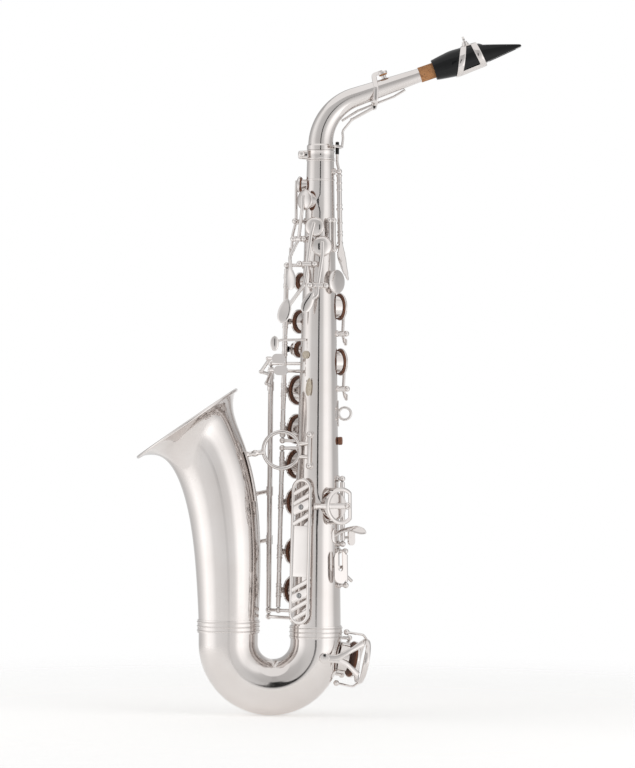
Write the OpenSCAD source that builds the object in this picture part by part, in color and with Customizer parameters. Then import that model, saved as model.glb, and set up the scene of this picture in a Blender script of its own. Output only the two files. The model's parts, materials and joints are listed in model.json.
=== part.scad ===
// Alto saxophone in silver plate, built as its separate pieces.
// The body tube stands upright, the bell points to -X and the mouthpiece to +X.
// The origin is the centre of the strap ring, by which the instrument hangs.

/* [Body tube] */
// Outer radius of the tube where it meets the bow
tube_low_r = 25.1; // [24.6:0.1:25.8]
// Outer radius of the tube under the neck receiver
tube_top_r = 13.5; // [13:0.1:14.2]
// Length of the body tube
tube_length = 472; // [450:1:495]
// Wall of the sheet-metal tubes
wall = 1; // [0.7:0.05:1.3]
// Turn of the row of stack tone holes round the tube
stack_turn = 129; // [125:1:134]
// Height of a large tone-hole chimney above the tube
hole_rise = 6.5; // [5.5:0.1:7.5]
// Height of a small tone-hole chimney above the tube
small_hole_rise = 4.2; // [3.6:0.1:5]

/* [Bow and bell] */
// Radius of the bow's bend, at the middle of its tube
bow_bend_r = 43.75; // [42:0.25:46]
// Straight leg of the bow below the body tube
bow_leg = 12; // [10:0.5:16]
// Straight leg of the bow below the bell
bell_leg = 17; // [14:0.5:20]
// Outer radius of the bell where it leaves the bow
bell_low_r = 29.8; // [29:0.1:30.6]
// Length of the bell along its middle line
bell_length = 211.5; // [201:0.5:222]
// Radius to which the bell's cone alone would grow
bell_throat_r = 39.1; // [37.5:0.1:40.5]
// Radius of the bell's rim
bell_rim_r = 61; // [58:0.5:64]
// Distance over which the flare fades
bell_flare = 10; // [8.5:0.5:12]
// Lean of the rim
bell_tilt = 35; // [31:0.2:38]
// Distance over which the lean fades
bell_tilt_reach = 75.5; // [68:0.5:83]
// Radius of the rolled bead on the rim
rim_bead_r = 1.6; // [1.2:0.1:2]
// Height of the two bow ferrules
ferrule_height = 13; // [11:0.5:15]
// Wall of the ferrules
ferrule_wall = 0.9; // [0.7:0.1:1.2]

/* [Neck and mouthpiece] */
// Radius of the neck's bend
neck_bend_r = 50; // [46:0.5:54]
// Slope of the neck's straight end above level
neck_rise = 19.5; // [16:0.5:23]
// Straight stretch of the neck up to the cork
neck_straight = 69; // [62:0.5:76]
// Outer radius of the neck above its collar
neck_low_r = 12.5; // [12:0.1:13]
// Outer radius of the neck at the cork
neck_end_r = 6.9; // [6.5:0.1:7.3]
// Outer radius of the tenon that sits in the receiver
tenon_r = 11.9; // [11.4:0.1:12.2]
// Length of the cork sleeve
cork_length = 42; // [38:1:46]
// Outer radius of the cork sleeve
cork_r = 7.7; // [7.5:0.1:8.2]
// Cork left bare between neck and mouthpiece
cork_bare = 15; // [11:0.5:18]
// Length of the mouthpiece
mouthpiece_length = 90; // [84:1:96]

/* [Keywork] */
// Radius of the steel hinge rods
rod_r = 1.3; // [1.1:0.05:1.5]
// Outer radius of the hinge tubes on the rods
hinge_r = 2.4; // [2.2:0.1:2.8]
// Radius of the ball heads of the posts
ball_r = 3; // [2.7:0.1:3.3]
// Radius of the post stems
stem_r = 1.7; // [1.4:0.1:2]
// Thickness of the leather pads
pad_thick = 3.6; // [3.2:0.1:4.2]
// Wall of the pad cups
cup_wall = 0.9; // [0.7:0.1:1.2]
// Rest opening of the stack keys
stack_open = 13; // [10:0.5:15]
// Rest opening of the low keys on bow and bell
low_open = 9; // [7:0.5:11]
// Radius of the key arms
arm_r = 1.7; // [1.4:0.1:2]
// Radius of the finger pearls
pearl_r = 6; // [5:0.25:7]

/* [Fittings] */
// Radius of the strap ring's hole
strap_hole_r = 4.7; // [4.2:0.1:5.5]
// Thickness of the strap ring's stock
strap_stock = 2.7; // [2.2:0.1:3.2]
// Height of the strap ring along the tube, as a share of its length
strap_share = 0.463; // [0.45:0.001:0.475]
// Middle radius of the bell brace ring
brace_ring_r = 18.2; // [16.5:0.1:19.5]
// Radius of the brace ring's stock
brace_stock_r = 1.9; // [1.6:0.1:2.2]
// Width of the guard plate over the lower stack
guard_width = 24; // [20:0.5:26]
// Length of the guard plate
guard_length = 146; // [136:1:154]
// Height of the guard plate above the tube
guard_height = 6; // [5:0.5:7.5]
// Radius of the thumb rest
thumb_rest_r = 12; // [10.5:0.25:13]

/* [Hidden] */
$fn = 48;

silver = "gainsboro";
steel = "lightslategray";
leather = "saddlebrown";
cork = "burlywood";
ebonite = "dimgray";

// Clearances: soldered or glued seats, running fits, parts that pass each other, pads over their holes
seat_gap = 0.05;
run_gap = 0.05;
pass_gap = 0.4;
pad_gap = 0.3;

// Sides of a lofted tube, and rings along the bow, the bell and the neck
loft_sides = 32;
bow_rings = 26;
bell_rings = 26;
neck_rings = 18;

// Heights and slopes of the tubes
bow_mid_r = bow_r(0.5);
bow_z = bow_bend_r + bow_mid_r;
tube_low_z = bow_z + bow_leg;
tube_top_z = tube_low_z + tube_length;
bell_low_z = bow_z + bell_leg;
taper = atan((tube_low_r - tube_top_r) / tube_length);
strap_z = along(strap_share);
strap_x = tube_r(strap_z) + strap_hole_r + strap_stock - 0.4;

function along(share) = tube_low_z + share * tube_length;
function tube_r(z) = tube_low_r - (z - tube_low_z) * tan(taper);
function bow_r(share) = tube_low_r + (bell_low_r - tube_low_r) * sin(90 * share);

// A point beside the tube: turn and height of its foot, then steps outwards, sideways and up the slope
function tube_point(turn, z, out, side = 0, up = 0) =
    [cos(turn), sin(turn), 0] * (tube_r(z) + out * cos(taper) - up * sin(taper))
    + [-sin(turn), cos(turn), 0] * side
    + [0, 0, z + out * sin(taper) + up * cos(taper)];

// The part's own frame: every piece is placed from the bow's lowest point, then moved to the strap ring
module from_strap() {
    translate([-strap_x, 0, -strap_z]) children();
}

// Places children on the tube: X outwards, Y sideways, Z up the slope
module on_tube(turn, z) {
    rotate([0, 0, turn]) translate([tube_r(z), 0, z]) rotate([0, -taper, 0]) children();
}

// A round bar from one point to another
module bar(a, b, r) {
    d = b - a;
    translate(a) rotate([0, acos(d.z / norm(d)), atan2(d.y, d.x)]) cylinder(h = norm(d), r = r);
}

// Turns +Z along one direction and +X away from another
module facing(d, away) {
    turn = atan2(d.y, d.x);
    tilt = acos(d.z / norm(d));
    ahead = away.x * cos(turn) + away.y * sin(turn);
    aside = away.y * cos(turn) - away.x * sin(turn);
    spin = atan2(aside, ahead * cos(tilt) - away.z * sin(tilt));
    rotate([0, tilt, turn]) rotate([0, 0, spin + 180]) children();
}

// Bars through a list of points, with a slightly fuller ball at each bend, in line with the bar or upright
module strut(points, r, knee = 1.12, upright = false) {
    for (i = [0:len(points) - 2])
        bar(points[i], points[i + 1], r);
    for (i = [1:len(points) - 2])
        translate(points[i])
            facing(upright ? [0, 0, 1] : points[i] - points[i - 1], upright ? [-1, 0, 0] : points[i + 1] - points[i])
                sphere(r * knee);
}

// The tube as a solid cone, grown by a clearance
module tube_cone(extra) {
    reach = 8;
    translate([0, 0, tube_low_z - reach])
        cylinder(h = tube_length + 2 * reach, r1 = tube_r(tube_low_z - reach) + extra,
                 r2 = tube_r(tube_top_z + reach) + extra, $fn = 96);
}

// Cuts children back from the tube's surface
module off_tube() {
    difference() {
        children();
        tube_cone(seat_gap);
    }
}

// A long plate with round ends, lying in YZ, from x = 0 outwards
module stadium(length, width, thick) {
    rotate([90, 0, 90]) linear_extrude(thick) {
        square([width, length - width], center = true);
        for (s = [-1, 1])
            translate([0, s * (length - width) / 2]) circle(width / 2);
    }
}

// A thin plate soldered to the tube, with round ends, curved to fit
module saddle(turn, z, length, width, thick = 1.2) {
    intersection() {
        on_tube(turn, z) translate([-width, 0, 0]) stadium(length, width, 2 * width);
        difference() {
            tube_cone(seat_gap + thick);
            tube_cone(seat_gap);
        }
    }
}

// Closed skin through a list of rings, last ring joined to the first
module skin(rings) {
    n = len(rings[0]);
    m = len(rings);
    points = [for (ring = rings) each ring];
    faces = [for (i = [0:m - 1], j = [0:n - 1])
        let (p = i * n, q = ((i + 1) % m) * n, k = (j + 1) % n)
        each [[p + j, q + j, q + k], [p + j, q + k, p + k]]];
    polyhedron(points, faces, convexity = 6);
}

// Ring of a lofted tube in the plane leaned by tilt round Y
function ring(centre, tilt, r) =
    [for (j = [0:loft_sides - 1])
        let (a = 360 * j / loft_sides)
        centre + r * [cos(a) * cos(tilt), sin(a), cos(a) * sin(tilt)]];

// Body tube with its drawn tone holes

// Tone holes of the two stacks, from the top: share of the tube's length and pad radius
stack_shares = [0.742, 0.657, 0.598, 0.511, 0.428, 0.354, 0.273, 0.167, 0.085];
stack_pads = [8.5, 11.5, 8, 14.5, 14.5, 14.5, 13.5, 13, 13.5];
upper_count = 5;
stack_count = len(stack_shares);

// Other tone holes: turn, share, pad radius
front_hole = [172, 0.947, 7.5];
palm_holes = [[224, 0.913, 9.5], [256, 0.856, 9], [276, 0.815, 9.5]];
side_holes = [[27, 0.689, 13], [27, 0.572, 13]];
e_flat_hole = [308, 0.268, 13];

// How far a pad laps over its chimney
pad_lap = 2;

tone_holes = concat(
    [for (i = [0:stack_count - 1]) [stack_turn, stack_z(i), stack_pads[i] - pad_lap, hole_rise]],
    [for (h = concat([front_hole], palm_holes)) [h[0], along(h[1]), h[2] - pad_lap, small_hole_rise]],
    [for (h = concat(side_holes, [e_flat_hole])) [h[0], along(h[1]), h[2] - pad_lap, small_hole_rise]]
);

function stack_z(i) = along(stack_shares[i]);

module tone_hole_plug(hole, r, rise) {
    reach = tube_r(hole[1]);
    on_tube(hole[0], hole[1]) translate([-reach, 0, 0]) rotate([0, 90, 0]) cylinder(h = reach + rise, r = r);
}

module body_tube() {
    color(silver) from_strap() difference() {
        union() {
            translate([0, 0, tube_low_z])
                cylinder(h = tube_length, r1 = tube_low_r, r2 = tube_top_r, $fn = 96);
            for (hole = tone_holes)
                tone_hole_plug(hole, hole[2], hole[3]);
        }
        translate([0, 0, tube_low_z])
            cylinder(h = tube_length, r1 = tube_low_r - wall, r2 = tube_top_r - wall, $fn = 96);
        for (hole = tone_holes)
            tone_hole_plug(hole, hole[2] - wall, hole[3] + 1);
    }
}

// Bow: a U-shaped tube that widens round its bend

bow_run = bow_leg + PI * bow_bend_r + bell_leg;

function bow_turn(run) = min(180, max(0, (run - bow_leg) / (PI * bow_bend_r) * 180));
function bow_middle(run) =
    let (a = bow_turn(run),
         rise = run < bow_leg ? bow_leg - run : max(0, run - bow_leg - PI * bow_bend_r))
    [bow_bend_r * (cos(a) - 1), 0, bow_z - bow_bend_r * sin(a) + rise];

function bow_ring(i, inset) =
    let (run = bow_run * i / bow_rings)
    ring(bow_middle(run), -bow_turn(run), bow_r(i / bow_rings) - inset);

// Places children on the outside of the bend: X outwards, Y sideways, Z along the bend
module on_bow(bend, roll) {
    share = (bow_leg + PI * bow_bend_r * bend / 180) / bow_run;
    translate([-bow_bend_r, 0, bow_z]) rotate([0, bend, 0]) translate([bow_bend_r, 0, 0])
        rotate([0, 0, roll]) translate([bow_r(share), 0, 0]) children();
}

// Ring of the bend's own size, to cut fittings back from the bow
module bow_torus(extra) {
    share = (bow_leg + PI * bow_bend_r * (low_c_bend + 22) / 180) / bow_run;
    translate([-bow_bend_r, 0, bow_z]) rotate([90, 0, 0])
        rotate_extrude($fn = 96) translate([bow_bend_r, 0]) circle(bow_r(share) + extra, $fn = 96);
}

module bow() {
    color(silver) from_strap() difference() {
        skin(concat([for (i = [0:bow_rings]) bow_ring(i, wall)], [for (i = [bow_rings:-1:0]) bow_ring(i, 0)]));
        on_bow(low_c_bend, low_c_roll) translate([-8, 0, 0]) rotate([0, 90, 0])
            cylinder(h = 16, r = low_c_pad_r - pad_lap - wall);
    }
}

// Bell: a cone with a fading flare, on a middle line that leans over towards the rim

bell_lean_gain = 0.235;
bell_fade_power = 1.18;

function bell_r(s) =
    bell_low_r + (bell_throat_r - bell_low_r) * s / bell_length
    + (bell_rim_r - rim_bead_r - bell_throat_r) * exp((s - bell_length) / bell_flare);
function bell_fade(s) = exp(-pow(max(0, bell_length - s) / bell_tilt_reach, bell_fade_power));
function bell_lean(s) = bell_tilt * (bell_fade(s) - bell_fade(0)) / (1 - bell_fade(0));
function bell_path(s) = let (t = bell_lean(s)) t * (1 + bell_lean_gain * t / bell_tilt);
function bell_step(i) = bell_length * (1 - pow(1 - i / bell_rings, 1.7));

// Middle line, added up from the bottom in short steps
function bell_sum(s, parts = 40) =
    let (d = s / parts,
         xs = [for (k = [0:parts - 1]) -sin(bell_path(d * (k + 0.5)))],
         zs = [for (k = [0:parts - 1]) cos(bell_path(d * (k + 0.5)))],
         ones = [for (k = [0:parts - 1]) 1])
    [xs * ones, 0, zs * ones] * d;
function bell_middle(s) = [-2 * bow_bend_r, 0, bell_low_z] + bell_sum(s);

// A point on the bell: distance along it, turn round it and height off its wall
function bell_point(s, turn, off) =
    let (t = bell_lean(s))
    bell_middle(s) + (bell_r(s) + off) * [cos(turn) * cos(t), sin(turn), cos(turn) * sin(t)];

function bead_ring(a) =
    let (t = bell_lean(bell_length))
    ring(bell_middle(bell_length) + rim_bead_r * sin(a) * [-sin(t), 0, cos(t)], t,
         bell_rim_r - rim_bead_r + rim_bead_r * cos(a));

// Places children on the far side of the bell: X outwards, Y away from the tube, Z up the bell
module on_bell(s) {
    translate(bell_middle(s)) rotate([0, -bell_lean(s), 0]) rotate([0, 0, 90])
        translate([bell_r(s), 0, 0]) children();
}

module bell() {
    color(silver) from_strap() difference() {
        skin(concat(
            [for (i = [0:bell_rings - 1]) ring(bell_middle(bell_step(i)), bell_lean(bell_step(i)), bell_r(bell_step(i)))],
            [for (a = [-75:30:165]) bead_ring(a)],
            [for (i = [bell_rings - 1:-1:0])
                ring(bell_middle(bell_step(i)), bell_lean(bell_step(i)), bell_r(bell_step(i)) - wall)]
        ));
        for (hole = bell_holes)
            on_bell(hole[0]) translate([-8, 0, 0]) rotate([0, 90, 0])
                cylinder(h = 16, r = hole[1] - pad_lap - wall);
    }
}

// Ferrules that join the bow to the tube and to the bell

ferrule_lines = 3;
ferrule_line_r = 0.7;

module ferrule(inner_r) {
    rotate_extrude($fn = 96) {
        translate([inner_r, -ferrule_height / 2]) square([ferrule_wall, ferrule_height]);
        for (k = [0:ferrule_lines - 1])
            translate([inner_r + ferrule_wall, (k - (ferrule_lines - 1) / 2) * ferrule_height / ferrule_lines])
                circle(ferrule_line_r, $fn = 24);
    }
}

module bow_ferrules() {
    bell_grow = (bell_throat_r - bell_low_r) / bell_length * ferrule_height / 2;
    color(silver) from_strap() {
        translate([0, 0, tube_low_z]) ferrule(tube_low_r + seat_gap + tan(taper) * ferrule_height / 2);
        translate([-2 * bow_bend_r, 0, bell_low_z]) ferrule(bell_low_r + bell_grow + 2 * seat_gap);
    }
}

// Soldered tone-hole rings of the low keys: low C on the bow, low B and B flat on the bell

low_c_bend = 11;
low_c_roll = 10;
low_c_pad_r = 17.5;

// Bell tone holes: place along the bell, pad radius
bell_holes = [[73, 18.5], [123, 19.5]];

// The bell's wall near one tone hole, as a plain cone grown by a clearance
module bell_cone(s, half, extra) {
    translate(bell_middle(s)) rotate([0, -bell_lean(s), 0]) translate([0, 0, -half])
        cylinder(h = 2 * half, r1 = bell_r(s - half) + extra, r2 = bell_r(s + half) + extra, $fn = 96);
}

module tone_hole_ring(pad_r) {
    outer = pad_r - pad_lap;
    rotate([0, 90, 0]) translate([0, 0, -outer]) difference() {
        cylinder(h = outer + hole_rise, r = outer);
        translate([0, 0, -1]) cylinder(h = outer + hole_rise + 2, r = outer - wall);
    }
}

module bell_tone_holes() {
    sink = 0.3;
    color(silver) from_strap() {
        for (hole = bell_holes)
            difference() {
                on_bell(hole[0]) tone_hole_ring(hole[1]);
                bell_cone(hole[0], hole[1] + 4, sink);
            }
        difference() {
            on_bow(low_c_bend, low_c_roll) tone_hole_ring(low_c_pad_r);
            bow_torus(sink);
        }
    }
}

// Neck receiver with its split lug, and the clamp screw

receiver_height = 9.5;
receiver_wall = 1.6;
lug_reach = 9.5;
lug_half = 5.5;
slit = 1.2;
screw_r = 1.8;
screw_head_r = 3.6;
screw_z = tube_top_z + receiver_height * 0.55;
screw_x = -(tenon_r + receiver_wall + lug_reach * 0.55);

module neck_receiver() {
    outer = tenon_r + run_gap + receiver_wall;
    color(silver) from_strap() difference() {
        union() {
            translate([0, 0, tube_top_z]) cylinder(h = receiver_height, r = outer, $fn = 96);
            translate([-outer - lug_reach + 1, -lug_half, tube_top_z])
                cube([lug_reach + receiver_wall, 2 * lug_half, receiver_height]);
        }
        translate([0, 0, tube_top_z - 1]) cylinder(h = receiver_height + 2, r = tenon_r + run_gap, $fn = 96);
        translate([-outer - lug_reach, -slit / 2, tube_top_z - 1])
            cube([lug_reach + receiver_wall + 3, slit, receiver_height + 2]);
        translate([screw_x, lug_half + 1, screw_z]) rotate([90, 0, 0])
            cylinder(h = 2 * lug_half + 2, r = screw_r + run_gap);
    }
}

module neck_screw() {
    color(steel) from_strap() translate([screw_x, 0, screw_z]) rotate([90, 0, 0]) {
        translate([0, 0, -lug_half - 1.5]) cylinder(h = 2 * lug_half + 2, r = screw_r);
        translate([0, 0, lug_half + pass_gap]) cylinder(h = 3, r = screw_head_r);
        translate([0, 0, lug_half + pass_gap + 3]) difference() {
            cylinder(h = 1.2, r1 = screw_head_r, r2 = screw_head_r - 1.2);
            translate([-screw_head_r, -0.5, 0.3]) cube([2 * screw_head_r, 1, 2]);
        }
    }
}

// Neck: a tapered swan bend, with tenon, brace, vent pip and cork

collar_low_z = tube_top_z + receiver_height + pass_gap;
collar_height = 5.6;
collar_wall = 1.3;
neck_low_z = collar_low_z + collar_height;
neck_turn = 90 - neck_rise;
neck_arc = PI * neck_bend_r * neck_turn / 180;
neck_run = neck_arc + neck_straight + cork_length;

function neck_angle(run) = min(neck_turn, run / neck_bend_r * 180 / PI);
function neck_middle(run) =
    let (a = neck_angle(run), rest = max(0, run - neck_arc))
    [neck_bend_r * (1 - cos(a)) + rest * sin(a), 0, neck_low_z + neck_bend_r * sin(a) + rest * cos(a)];
function neck_r(run) =
    neck_low_r + (neck_end_r - neck_low_r) * min(1, run / (neck_arc + neck_straight));
function neck_ring(i, inset) =
    let (run = neck_run * i / neck_rings)
    ring(neck_middle(run), -neck_angle(run), neck_r(run) - inset);
// A point in the neck's mid plane, off its top
function neck_point(run, off, side = 0) =
    let (a = neck_angle(run))
    neck_middle(run) + off * [-cos(a), 0, sin(a)] + [0, side, 0];

module neck_tube() {
    color(silver) from_strap()
        skin(concat([for (i = [neck_rings:-1:0]) neck_ring(i, wall)], [for (i = [0:neck_rings]) neck_ring(i, 0)]));
}

module neck_tenon() {
    depth = receiver_height + pass_gap + 12;
    color(silver) from_strap() translate([0, 0, neck_low_z]) rotate_extrude($fn = 96) polygon([
        [tenon_r - wall, -collar_height - depth],
        [tenon_r, -collar_height - depth],
        [tenon_r, -collar_height],
        [neck_low_r + collar_wall, -collar_height],
        [neck_low_r + collar_wall, -collar_height * 0.3],
        [neck_low_r, 0],
        [neck_low_r - wall, 0]
    ]);
}

// Turns +X along the neck's straight end, from the start of the cork
module on_neck_end() {
    translate(neck_middle(neck_arc + neck_straight)) rotate([0, -neck_rise, 0]) children();
}

module neck_cork() {
    color(cork) from_strap() on_neck_end() rotate([0, 90, 0]) difference() {
        cylinder(h = cork_length, r = cork_r);
        translate([0, 0, -1]) cylinder(h = cork_length + 2, r = neck_end_r + 3 * seat_gap);
    }
}

pip_run = 96;
pip_r = 2.4;
pip_rise = 3;
saddle_run = 77;
yoke_run = 85;
brace_start = 34;
brace_stop = 112;

// Neck fittings: vent pip on top, hinge saddle for the octave key, brace strip underneath
module neck_fittings() {
    color(silver) from_strap() {
        difference() {
            bar(neck_point(pip_run, neck_r(pip_run) + seat_gap), neck_point(pip_run, neck_r(pip_run) + pip_rise), pip_r);
            bar(neck_point(pip_run, 0), neck_point(pip_run, neck_r(pip_run) + pip_rise + 1), pip_r - 1);
        }
        bar(neck_saddle(-6), neck_saddle(hinge_r), stem_r);
        bar(neck_saddle(0) - [0, saddle_half, 0], neck_saddle(0) + [0, saddle_half, 0], rod_r);
        strut([for (run = [brace_start:13:brace_stop])
            neck_point(run, -neck_r(run) - 1.5 - (run == brace_start || run > brace_stop - 13 ? 0 : 2.2))], 1.2);
    }
}

// Hinge of the neck octave key, under the neck
saddle_half = 8.5;
function neck_saddle(out) = neck_point(saddle_run, -neck_r(saddle_run) - 6.5 - out);

octave_loop_r = tenon_r + 9.4;
octave_loop_half = 48;
octave_loop_stock = 1.4;
octave_loop_z = collar_low_z + 3;
octave_pad_r = 4;

// Neck octave key: loop round the octave pin, arm, yoke round the neck and cup over the pip
module neck_octave_key() {
    top_run = pip_run;
    yoke_side = neck_r(saddle_run) + 3;
    top_off = neck_r(pip_run) + pip_rise + pad_gap;
    hinge = neck_saddle(0);
    knee = neck_point(46, -neck_r(46) - 8);
    color(silver) from_strap() difference() {
        union() {
            for (s = [-1, 1]) {
                bar(hinge + [0, s * (stem_r + pass_gap), 0], hinge + [0, s * (saddle_half - 0.5), 0], hinge_r);
                bar(hinge + [0, s * 5, 0], knee, octave_loop_stock);
            }
            translate(knee) sphere(octave_loop_stock * 1.3);
            strut([
                knee,
                neck_point(22, -neck_r(22) - 7),
                [octave_loop_r + 1, 0, neck_low_z + 6],
                [octave_loop_r, 0, octave_loop_z]
            ], octave_loop_stock);
            translate([0, 0, octave_loop_z]) rotate([0, 0, -octave_loop_half])
                rotate_extrude(angle = 2 * octave_loop_half, $fn = 96)
                    translate([octave_loop_r, 0]) circle(octave_loop_stock, $fn = 24);
            for (s = [-1, 1])
                strut([
                    hinge + [0, s * 6, 0],
                    neck_point(saddle_run + 3, -neck_r(saddle_run) - 2, s * yoke_side),
                    neck_point(yoke_run, 2, s * yoke_side),
                    neck_point(yoke_run + 2, top_off + 3.5, s * 2.5),
                    neck_point(top_run, top_off + 3.5)
                ], 1.3);
            bar(neck_point(top_run, top_off + 1.2), neck_point(top_run, top_off + 4.2), octave_pad_r + 0.8);
        }
        bar(neck_point(top_run, top_off), neck_point(top_run, top_off + 2.4), octave_pad_r + seat_gap);
        bar(hinge - [0, saddle_half, 0], hinge + [0, saddle_half, 0], rod_r + run_gap);
    }
}

module neck_octave_pad() {
    top_off = neck_r(pip_run) + pip_rise + pad_gap;
    color(cork) from_strap()
        bar(neck_point(pip_run, top_off), neck_point(pip_run, top_off + 2.35), octave_pad_r);
}

// Mouthpiece: turned shank and body, cut to a beak, with bore and window

mouth_start = cork_bare;
mouth_beak = 51;
mouth_r = [10.3, 13.3, 12.5, 11.7];
mouth_at = [0, 21, 35, 50];

module mouthpiece() {
    bore_r = cork_r + run_gap;
    color(ebonite) from_strap() on_neck_end() translate([mouth_start, 0, 0]) difference() {
        intersection() {
            rotate([0, 90, 0]) rotate_extrude($fn = 64) polygon(concat(
                [[0, 0]],
                [for (k = [0:3]) [mouth_r[k], mouth_at[k]]],
                [[mouth_r[3] - 0.6, mouthpiece_length], [0, mouthpiece_length]]
            ));
            rotate([90, 0, 0]) translate([0, 0, -20]) linear_extrude(40) polygon([
                [-1, -20], [-1, 20], [mouth_beak, 20], [mouth_beak, 11.2], [mouth_beak + 2.5, 8.1],
                [mouthpiece_length, -4], [mouthpiece_length, -6], [mouth_beak - 14, -11.4], [mouth_beak - 18, -20]
            ]);
        }
        rotate([0, 90, 0]) {
            translate([0, 0, -1]) cylinder(h = cork_length - cork_bare + 9, r = bore_r);
            cylinder(h = mouth_beak + 6, r = 5.6);
        }
        translate([mouth_beak + 2, -5.5, -20]) cube([mouthpiece_length - mouth_beak - 9, 11, 16]);
    }
}

lig_low = [19, 46];
lig_high = [33, 43];
lig_wide = 6;
lig_wall = 0.9;
lig_screw_at = 38;

function mouth_outer(at) = lookup(at, [for (k = [0:3]) [mouth_at[k], mouth_r[k]]]);

// Ligature: two slanted bands of one sleeve, joined under the table, with a screw boss on top
module ligature() {
    start = lig_low[0] - 1;
    stop = lig_low[1] + lig_wide;
    color(silver) from_strap() on_neck_end() translate([mouth_start, 0, 0]) difference() {
        union() {
            intersection() {
                rotate([0, 90, 0]) rotate_extrude($fn = 64) polygon(concat(
                    [for (at = [start, mouth_at[1], mouth_at[2], stop]) [mouth_outer(at) + 0.3, at]],
                    [for (at = [stop, mouth_at[2], mouth_at[1], start]) [mouth_outer(at) + 0.3 + lig_wall, at]]
                ));
                rotate([90, 0, 0]) translate([0, 0, -20]) linear_extrude(40) {
                    for (k = [0, 1])
                        polygon([[lig_low[k], -20], [lig_low[k] + lig_wide, -20], [lig_high[k] + lig_wide, 20], [lig_high[k], 20]]);
                    translate([lig_low[0], -20]) square([stop - lig_low[0], 9.5]);
                    translate([lig_high[0], 11.5]) square([lig_high[1] - lig_high[0] + lig_wide, 9]);
                }
            }
            translate([lig_screw_at, 0, mouth_outer(lig_screw_at) + 0.6]) cylinder(h = 2.5, r = 3.4);
        }
        translate([lig_screw_at, 0, 0]) cylinder(h = 40, r = 1.6 + run_gap);
    }
}

module ligature_screw() {
    top = mouth_outer(lig_screw_at) + 3.1;
    color(silver) from_strap() on_neck_end() translate([mouth_start + lig_screw_at, 0, 0]) {
        translate([0, 0, top - 2.4]) cylinder(h = 4, r = 1.6);
        translate([0, 0, top + pass_gap]) cylinder(h = 1.4, r = 2.6);
        translate([0, 0, top + 3.4]) rotate([0, 90, 0]) translate([0, 0, -1]) cylinder(h = 2, r = 3.5);
    }
}

// Keys: cups, pads, hinge tubes and the frame they share

// Distance of a closed pad's face above the tube
function pad_face(rise) = rise + pad_gap;
// Back of a cup above its pad's face
cup_back = pad_thick + cup_wall;
pad_out = 1.2;

// Dished cup, its pad's face at x = 0
module cup(pad_r) {
    rotate([0, 90, 0]) rotate_extrude() polygon([
        [0, pad_thick],
        [pad_r, pad_thick],
        [pad_r, pad_out],
        [pad_r + cup_wall, pad_out],
        [pad_r + cup_wall, cup_back * 0.7],
        [pad_r - 0.6, cup_back],
        [pad_r * 0.35, cup_back + 0.4],
        [0, cup_back + 0.9]
    ]);
}

module pad(pad_r) {
    rotate([0, 90, 0]) rotate_extrude() polygon([
        [0, 0], [pad_r - 0.6, 0], [pad_r - seat_gap, 0.6], [pad_r - seat_gap, pad_thick], [0, pad_thick]
    ]);
}

// Turns children round a hinge that runs up the slope
module swung(out, side, angle) {
    translate([out, side, 0]) rotate([0, 0, angle]) translate([-out, -side, 0]) children();
}

// Stack keys: nine open keys on two long rods

stack_out = 10;
stack_side = 21;
post_clear = ball_r + pass_gap;
rod_end = ball_r * 0.7;

// Ends of the two stack rods, at the middle of their posts
upper_rod_high = stack_z(0) + 16;
upper_rod_low = (stack_z(upper_count - 1) + stack_z(upper_count)) / 2 + 6;
lower_rod_high = (stack_z(upper_count - 1) + stack_z(upper_count)) / 2 - 1.5;
lower_rod_low = stack_z(stack_count - 1) - 20;

function stack_top(i) =
    i == 0 ? upper_rod_high - post_clear
    : i == upper_count ? lower_rod_high - post_clear
    : (stack_z(i - 1) + stack_z(i)) / 2 - pass_gap / 2;
function stack_bottom(i) =
    i == stack_count - 1 ? lower_rod_low + post_clear
    : i == upper_count - 1 ? upper_rod_low + post_clear
    : (stack_z(i + 1) + stack_z(i)) / 2 + pass_gap / 2;

module stack_key(i) {
    z = stack_z(i);
    r = stack_pads[i];
    face = pad_face(hole_rise);
    low = (stack_bottom(i) - z) / cos(taper);
    high = (stack_top(i) - z) / cos(taper);
    arm_x = face + cup_back - 0.4;
    color(silver) from_strap() on_tube(stack_turn, z) swung(stack_out, stack_side, stack_open) difference() {
        union() {
            translate([face, 0, 0]) cup(r);
            translate([arm_x, 0, 0]) rotate([90, 0, 90]) linear_extrude(2.4)
                polygon([[-r * 0.55, -1.6], [-r * 0.55, 1.6], [stack_side, 3.4], [stack_side, -3.4]]);
            translate([arm_x + 2, -r * 0.1, 0]) rotate([0, 90, 0]) cylinder(h = 2.4, r1 = pearl_r * 0.6, r2 = pearl_r + 0.7);
            translate([arm_x + 4.4, -r * 0.1, 0]) rotate([0, 90, 0]) cylinder(h = 1.4, r1 = pearl_r, r2 = pearl_r * 0.8);
            translate([stack_out, stack_side, low]) cylinder(h = high - low, r = hinge_r);
        }
        translate([stack_out, stack_side, low - 1]) cylinder(h = high - low + 2, r = rod_r + run_gap);
    }
}

module stack_pad(i) {
    color(leather) from_strap() on_tube(stack_turn, stack_z(i)) swung(stack_out, stack_side, stack_open)
        translate([pad_face(hole_rise), 0, 0]) pad(stack_pads[i]);
}

// Rocker keys: cup at the top, hinge across the tube below it, touch at the bottom end

rocker_half = 4.5;
rocker_post = rocker_half + post_clear;
rocker_out = 9;

// Drop of the hinge below the cup, steps sideways of hinge and arm, then bend and touch: outwards, sideways, up
front_lever = [37, 0, 0, [12.5, -1.5, -51], [13, -3.5, -70]];
palm_levers = [
    [39, -5, 0, [14, -12, -57], [17, -5, -82]],
    [37, -6.5, -3, [10, -9, -58], [7, -29, -84]],
    [39, -4, 0, [12, -5, -49], [10, -14, -56]]
];
side_lever = [27, 0, 0, [11, 2, -33], [12, 3, -38]];

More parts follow.
